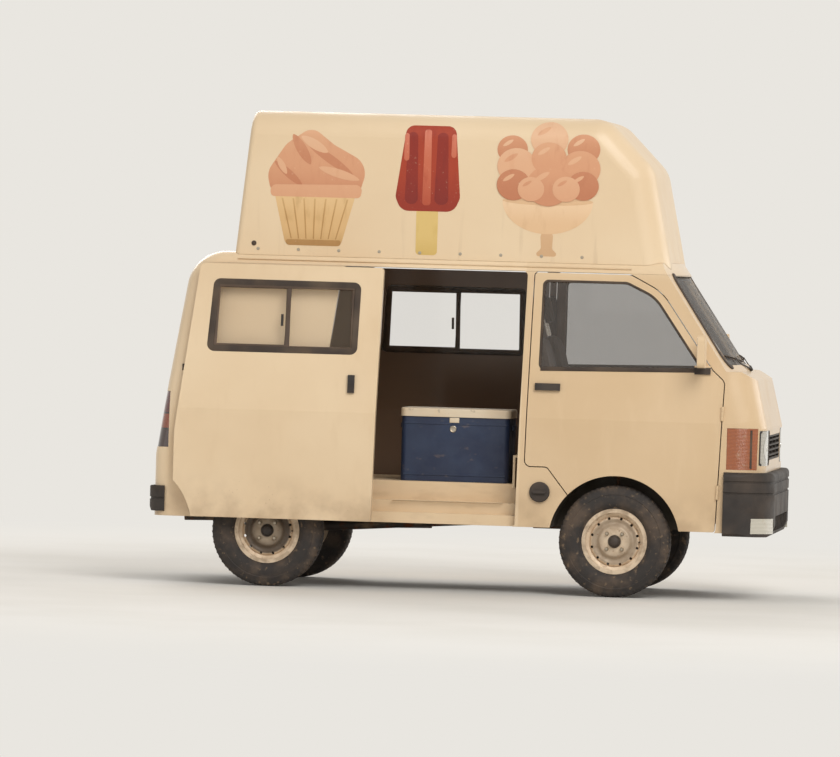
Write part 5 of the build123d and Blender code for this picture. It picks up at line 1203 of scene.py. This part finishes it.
# Cuts across the pictures, where the wall turns into the rounded top edge and the nose
EDGE_CUTS = [((0, 2.3 + number * 0.005, 0), (0, 1, 0)) for number in range(22)]
NOSE_CUTS = [((0.5 + number * 0.012, 0, 0), (1, 0, 0)) for number in range(16)]
NOSE_CUTS += [((0, 2.1 + number * 0.012, 0), (0, 1, 0)) for number in range(17)]

# Parts of the pictures as paint, layer, steps in each corner, corners of (x, z, radius)
CUP_MIDDLE = -0.785
CUP = (
    ("pink", 0, 10, (
        (-0.236, 2.01, 0.05), (-0.262, 2.115, 0.1), (-0.165, 2.262, 0.12), (-0.035, 2.352, 0.07),
        (0.08, 2.262, 0.14), (0.262, 2.165, 0.1), (0.215, 2.01, 0.05))),
    ("tan", 1, 6, ((-0.155, 1.744, 0.035), (-0.22, 2.012, 0.02), (0.2, 2.012, 0.02), (0.128, 1.744, 0.035))),
    ("pink_light", 2, 6, (
        (-0.236, 1.992, 0.02), (-0.245, 2.052, 0.03), (0.236, 2.06, 0.03), (0.222, 1.992, 0.02))),
    ("tan_deep", 2, 5, (
        (-0.15, 1.744, 0.02), (-0.158, 1.774, 0.012), (0.134, 1.774, 0.012), (0.126, 1.744, 0.02))),
)
LOLLY = (
    ("yellow", 0, 5, ((-0.27, 1.712, 0.02), (-0.272, 1.96, 0), (-0.16, 1.96, 0), (-0.16, 1.712, 0.02))),
    ("red", 1, 8, (
        (-0.352, 1.935, 0.06), (-0.382, 2.005, 0.05), (-0.332, 2.372, 0.045), (-0.08, 2.372, 0.045),
        (-0.05, 2.005, 0.05), (-0.08, 1.935, 0.06))),
)
GLASS_FOOT = (
    ("bowl_deep", 0, 6, (
        (0.33, 1.722, 0.012), (0.372, 1.76, 0.02), (0.366, 1.85, 0.03), (0.434, 1.85, 0.03),
        (0.428, 1.76, 0.02), (0.47, 1.722, 0.012))),
)
# Strokes on the soft ice as paint, layer, x, z, length, width, lean in degrees
STROKES = (
    ("pink_deep", 1, -0.085, 2.235, 0.09, 0.026, -58),
    ("pink_deep", 1, 0.06, 2.19, 0.15, 0.022, -34),
    ("pink_deep", 1, -0.15, 2.11, 0.095, 0.02, -40),
    ("pink_light", 2, -0.02, 2.262, 0.08, 0.024, -30),
    ("pink_light", 2, 0.11, 2.115, 0.11, 0.022, -16),
    ("pink_light", 2, -0.185, 2.15, 0.05, 0.016, -60),
)
# The lolly's flutes as paint, layer, x, foot, top, half width, taper, corner radii at the foot and top, steps
FLUTES = (
    ("red_deep", 2, -0.3, 1.97, 2.337, 0.034, 0.75, 0.03, 0.024, 6),
    ("red_deep", 2, -0.146, 1.97, 2.337, 0.036, 0.75, 0.03, 0.024, 6),
    ("red_light", 3, -0.222, 1.965, 2.352, 0.022, 0.8, 0.016, 0.013, 5),
    ("red_light", 3, -0.33, 2.19, 2.332, 0.014, 0.8, 0.016, 0.013, 5),
    ("red_light", 3, -0.088, 2.21, 2.332, 0.014, 0.8, 0.016, 0.013, 5),
)
# Scoops as x, z, size, paint, layer; each shine lies on the even layer above its scoop
SCOOPS = (
    (0.212, 2.262, 0.078, "pink_deep", 3),
    (0.576, 2.27, 0.084, "pink_deep", 3),
    (0.4, 2.318, 0.096, "pink_light", 5),
    (0.236, 2.178, 0.1, "pink_light", 7),
    (0.562, 2.17, 0.102, "pink", 7),
    (0.4, 2.22, 0.09, "pink", 9),
    (0.222, 2.082, 0.086, "pink_deep", 11),
    (0.578, 2.084, 0.08, "pink_deep", 11),
    (0.4, 2.08, 0.112, "pink", 13),
    (0.312, 2.062, 0.068, "pink_light", 15),
    (0.492, 2.066, 0.07, "pink_light", 15),
)


def outlined(parts, middle=0):
    """A table's parts as (paint, layer, outline)."""
    return [(paint, layer, rounded([(middle + x, z, radius) for x, z, radius in corners], steps))
            for paint, layer, steps, corners in parts]


def leaf(u, v, long, wide, degrees):
    """A pointed stroke about a middle point, leaning by an angle."""
    angle = radians(degrees)
    points = []
    for number in range(24):
        turn = 2 * pi * number / 24
        along = long * cos(turn)
        across = wide * sin(turn) * abs(sin(turn)) ** 0.3
        points.append((u + along * cos(angle) - across * sin(angle),
                       v + along * sin(angle) + across * cos(angle)))
    return points


def cup_shapes():
    """A ribbed cup with a dome of soft ice, as (paint, layer, outline)."""
    shapes = outlined(CUP, CUP_MIDDLE)
    for number in range(-3, 4):
        top_x = CUP_MIDDLE - 0.01 + number * 0.056
        foot_x = CUP_MIDDLE - 0.012 + number * 0.038
        rib = [(foot_x - 0.003, 1.778), (top_x - 0.004, 1.984), (top_x + 0.004, 1.984),
               (foot_x + 0.003, 1.778)]
        shapes.append(("tan_deep", 2, rib))
    for paint, layer, x, *stroke in STROKES:
        shapes.append((paint, layer, leaf(CUP_MIDDLE + x, *stroke)))
    return shapes


def lolly_shapes():
    """A red lolly on a flat stick, with its light and dark flutes."""
    shapes = outlined(LOLLY)
    for paint, layer, x, foot, top, wide, taper, foot_round, top_round, steps in FLUTES:
        corners = ((x - wide, foot, foot_round), (x - wide * taper, top, top_round),
                   (x + wide * taper, top, top_round), (x + wide, foot, foot_round))
        shapes.append((paint, layer, rounded(corners, steps)))
    return shapes


def sundae_shapes():
    """Scoops heaped in a footed glass."""
    shapes = outlined(GLASS_FOOT)
    shapes.append(("bowl", 1, oval(0.4, 2.005, 0.232, 0.17, 28, 180, 360)))
    shapes.append(("bowl_deep", 2, oval(0.4, 2.003, 0.232, 0.022, 32)))
    for x, z, size, paint, layer in SCOOPS:
        shapes.append((paint, layer, oval(x, z, size, size * 0.92, 30)))
        shine = "pink_light" if paint != "pink_light" else "pink"
        outline = leaf(x - size * 0.3, z + size * 0.42, size * 0.4, size * 0.12, 32)
        shapes.append((shine, layer + 1, outline))
    return shapes


def on_roof_box(roof, side, layer):
    """A placing function for picture layers on the raised roof's side wall."""

    def place(x, z, proud):
        wall, outward = meet(roof, (x, side, z), (0, -side, 0))
        return wall + outward * PICTURE_PROUD * (layer + 1 if proud else layer + 0.15)

    return place


def make_pictures():
    roof = surface("raised_roof")
    for side_name, side in SIDES:
        for picture, shapes, cuts in (
                ("cup", cup_shapes(), EDGE_CUTS), ("lolly", lolly_shapes(), EDGE_CUTS),
                ("sundae", sundae_shapes(), EDGE_CUTS + NOSE_CUTS)):
            forms = {}
            for paint, layer, outline in shapes:
                forms.setdefault(paint, Form()).slab(outline, 1, on_roof_box(roof, side, layer), cuts)
            for paint, form in forms.items():
                look = "picture_" + paint
                form.piece("_".join((picture, look, side_name)), look, slot="moulded_roof")


# Camera, light and ground

CAMERA_PLACE = Vector((4.0386, -37.752, 1.6035))
CAMERA_TURN = radians(6.5496)
CAMERA_DIP = radians(0.7993)
CAMERA_ROLL = radians(1.6305)
LENS = 314.3
SENSOR = 36
CAMERA_REACH = 500
# Soft boxes as name, place, size, power
SOFT_BOXES = (
    ("key", (6, -11, 10), 8, 1220),
    ("fill", (-9, -8, 5), 9, 120),
    ("back", (-6, 11, 9), 9, 900),
    ("far", (10, 6, 5), 8, 360),
)
WORLD_LEVEL = 0.46
LIGHT_TARGET = Vector((0, 0, 1.1))
GROUND_HALF = 300
GROUND_NEAR = 3.2
GROUND_FAR = 8.5


def make_camera():
    data = bpy.data.cameras.new("camera")
    data.lens = LENS
    data.sensor_width = SENSOR
    data.clip_end = CAMERA_REACH
    camera = add_object("camera", data)
    camera.matrix_world = Matrix.Translation(CAMERA_PLACE)
    for turn, axis in ((CAMERA_TURN, "Z"), (pi / 2 - CAMERA_DIP, "X"), (CAMERA_ROLL, "Z")):
        camera.matrix_world @= Matrix.Rotation(turn, 4, axis)
    bpy.context.scene.camera = camera


def backdrop_rays(tree):
    """One for the rays that show the backdrop: straight from the camera, through glass or off a mirror."""
    rays = tree.nodes.new("ShaderNodeLightPath")
    shown = rays.outputs["Is Camera Ray"]
    for kind in ("Is Transmission Ray", "Is Glossy Ray"):
        either = tree.nodes.new("ShaderNodeMath")
        either.operation = "MAXIMUM"
        tree.links.new(shown, either.inputs[0])
        tree.links.new(rays.outputs[kind], either.inputs[1])
        shown = either.outputs[0]
    return shown


def mix_shaders(tree, share, first, second, output):
    """Send two shaders, mixed by a share, to the surface of a tree's output."""
    choice = tree.nodes.new("ShaderNodeMixShader")
    for socket, source in zip(choice.inputs, (share, first.outputs[0], second.outputs[0])):
        tree.links.new(source, socket)
    tree.links.new(choice.outputs[0], tree.nodes[output].inputs["Surface"])


def make_lights():
    for name, place, size, power in SOFT_BOXES:
        data = bpy.data.lights.new(name, "AREA")
        data.size = size
        data.energy = power
        lamp = add_object(name, data)
        lamp.location = place
        lamp.rotation_euler = (LIGHT_TARGET - Vector(place)).to_track_quat("-Z", "Y").to_euler()
    world = bpy.data.worlds.new("studio")
    world.use_nodes = True
    tree = world.node_tree
    sky = tree.nodes["Background"]
    sky.inputs["Color"].default_value = SKYLIGHT
    sky.inputs["Strength"].default_value = WORLD_LEVEL
    seen = tree.nodes.new("ShaderNodeBackground")
    seen.inputs["Color"].default_value = BACKDROP
    mix_shaders(tree, backdrop_rays(tree), sky, seen, "World Output")
    bpy.context.scene.world = world
    bpy.context.scene.view_settings.view_transform = "Standard"


def make_ground():
    """A pale floor that keeps the van's shadow and fades into the backdrop's colour."""
    look = Look("ground", rgb(226, 222, 215), 0.9)
    look.paint(rgb(220, 216, 208), (0.35, 0.7, 0.8, 4))
    look.bump((60,), 0.0006, 0.3)
    distance = look.distance((look.x, 0), (look.y, 0))
    fade = look.times((distance, GROUND_NEAR, GROUND_FAR), backdrop_rays(look.tree))
    mix_shaders(look.tree, fade, look.shader, look.node("Emission", Color=BACKDROP), "Material Output")
    data = bpy.data.meshes.new("ground")
    corners = [(a * GROUND_HALF, b * GROUND_HALF, 0) for a, b in ((-1, -1), (1, -1), (1, 1), (-1, 1))]
    data.from_pydata(corners, [], [(0, 1, 2, 3)])
    data.materials.append(look.material)
    add_object("ground", data)


make_looks()
make_camera()
make_lights()
make_ground()
dress_nodes()
for side_name, side_sign in SIDES:
    for make_side in (make_wheels, make_side_windows, make_gutters, make_roof_base, make_lamps, make_seats,
                      make_seat_belts, make_door_cards, make_mirror_glass):
        make_side(side_name, side_sign)
make_screen_seals()
make_wipers()
make_dashboard()
make_cab_controls()
make_cab_roof_fittings()
make_chest_details()
make_tailgate_catch()
make_step_treads()
make_pictures()
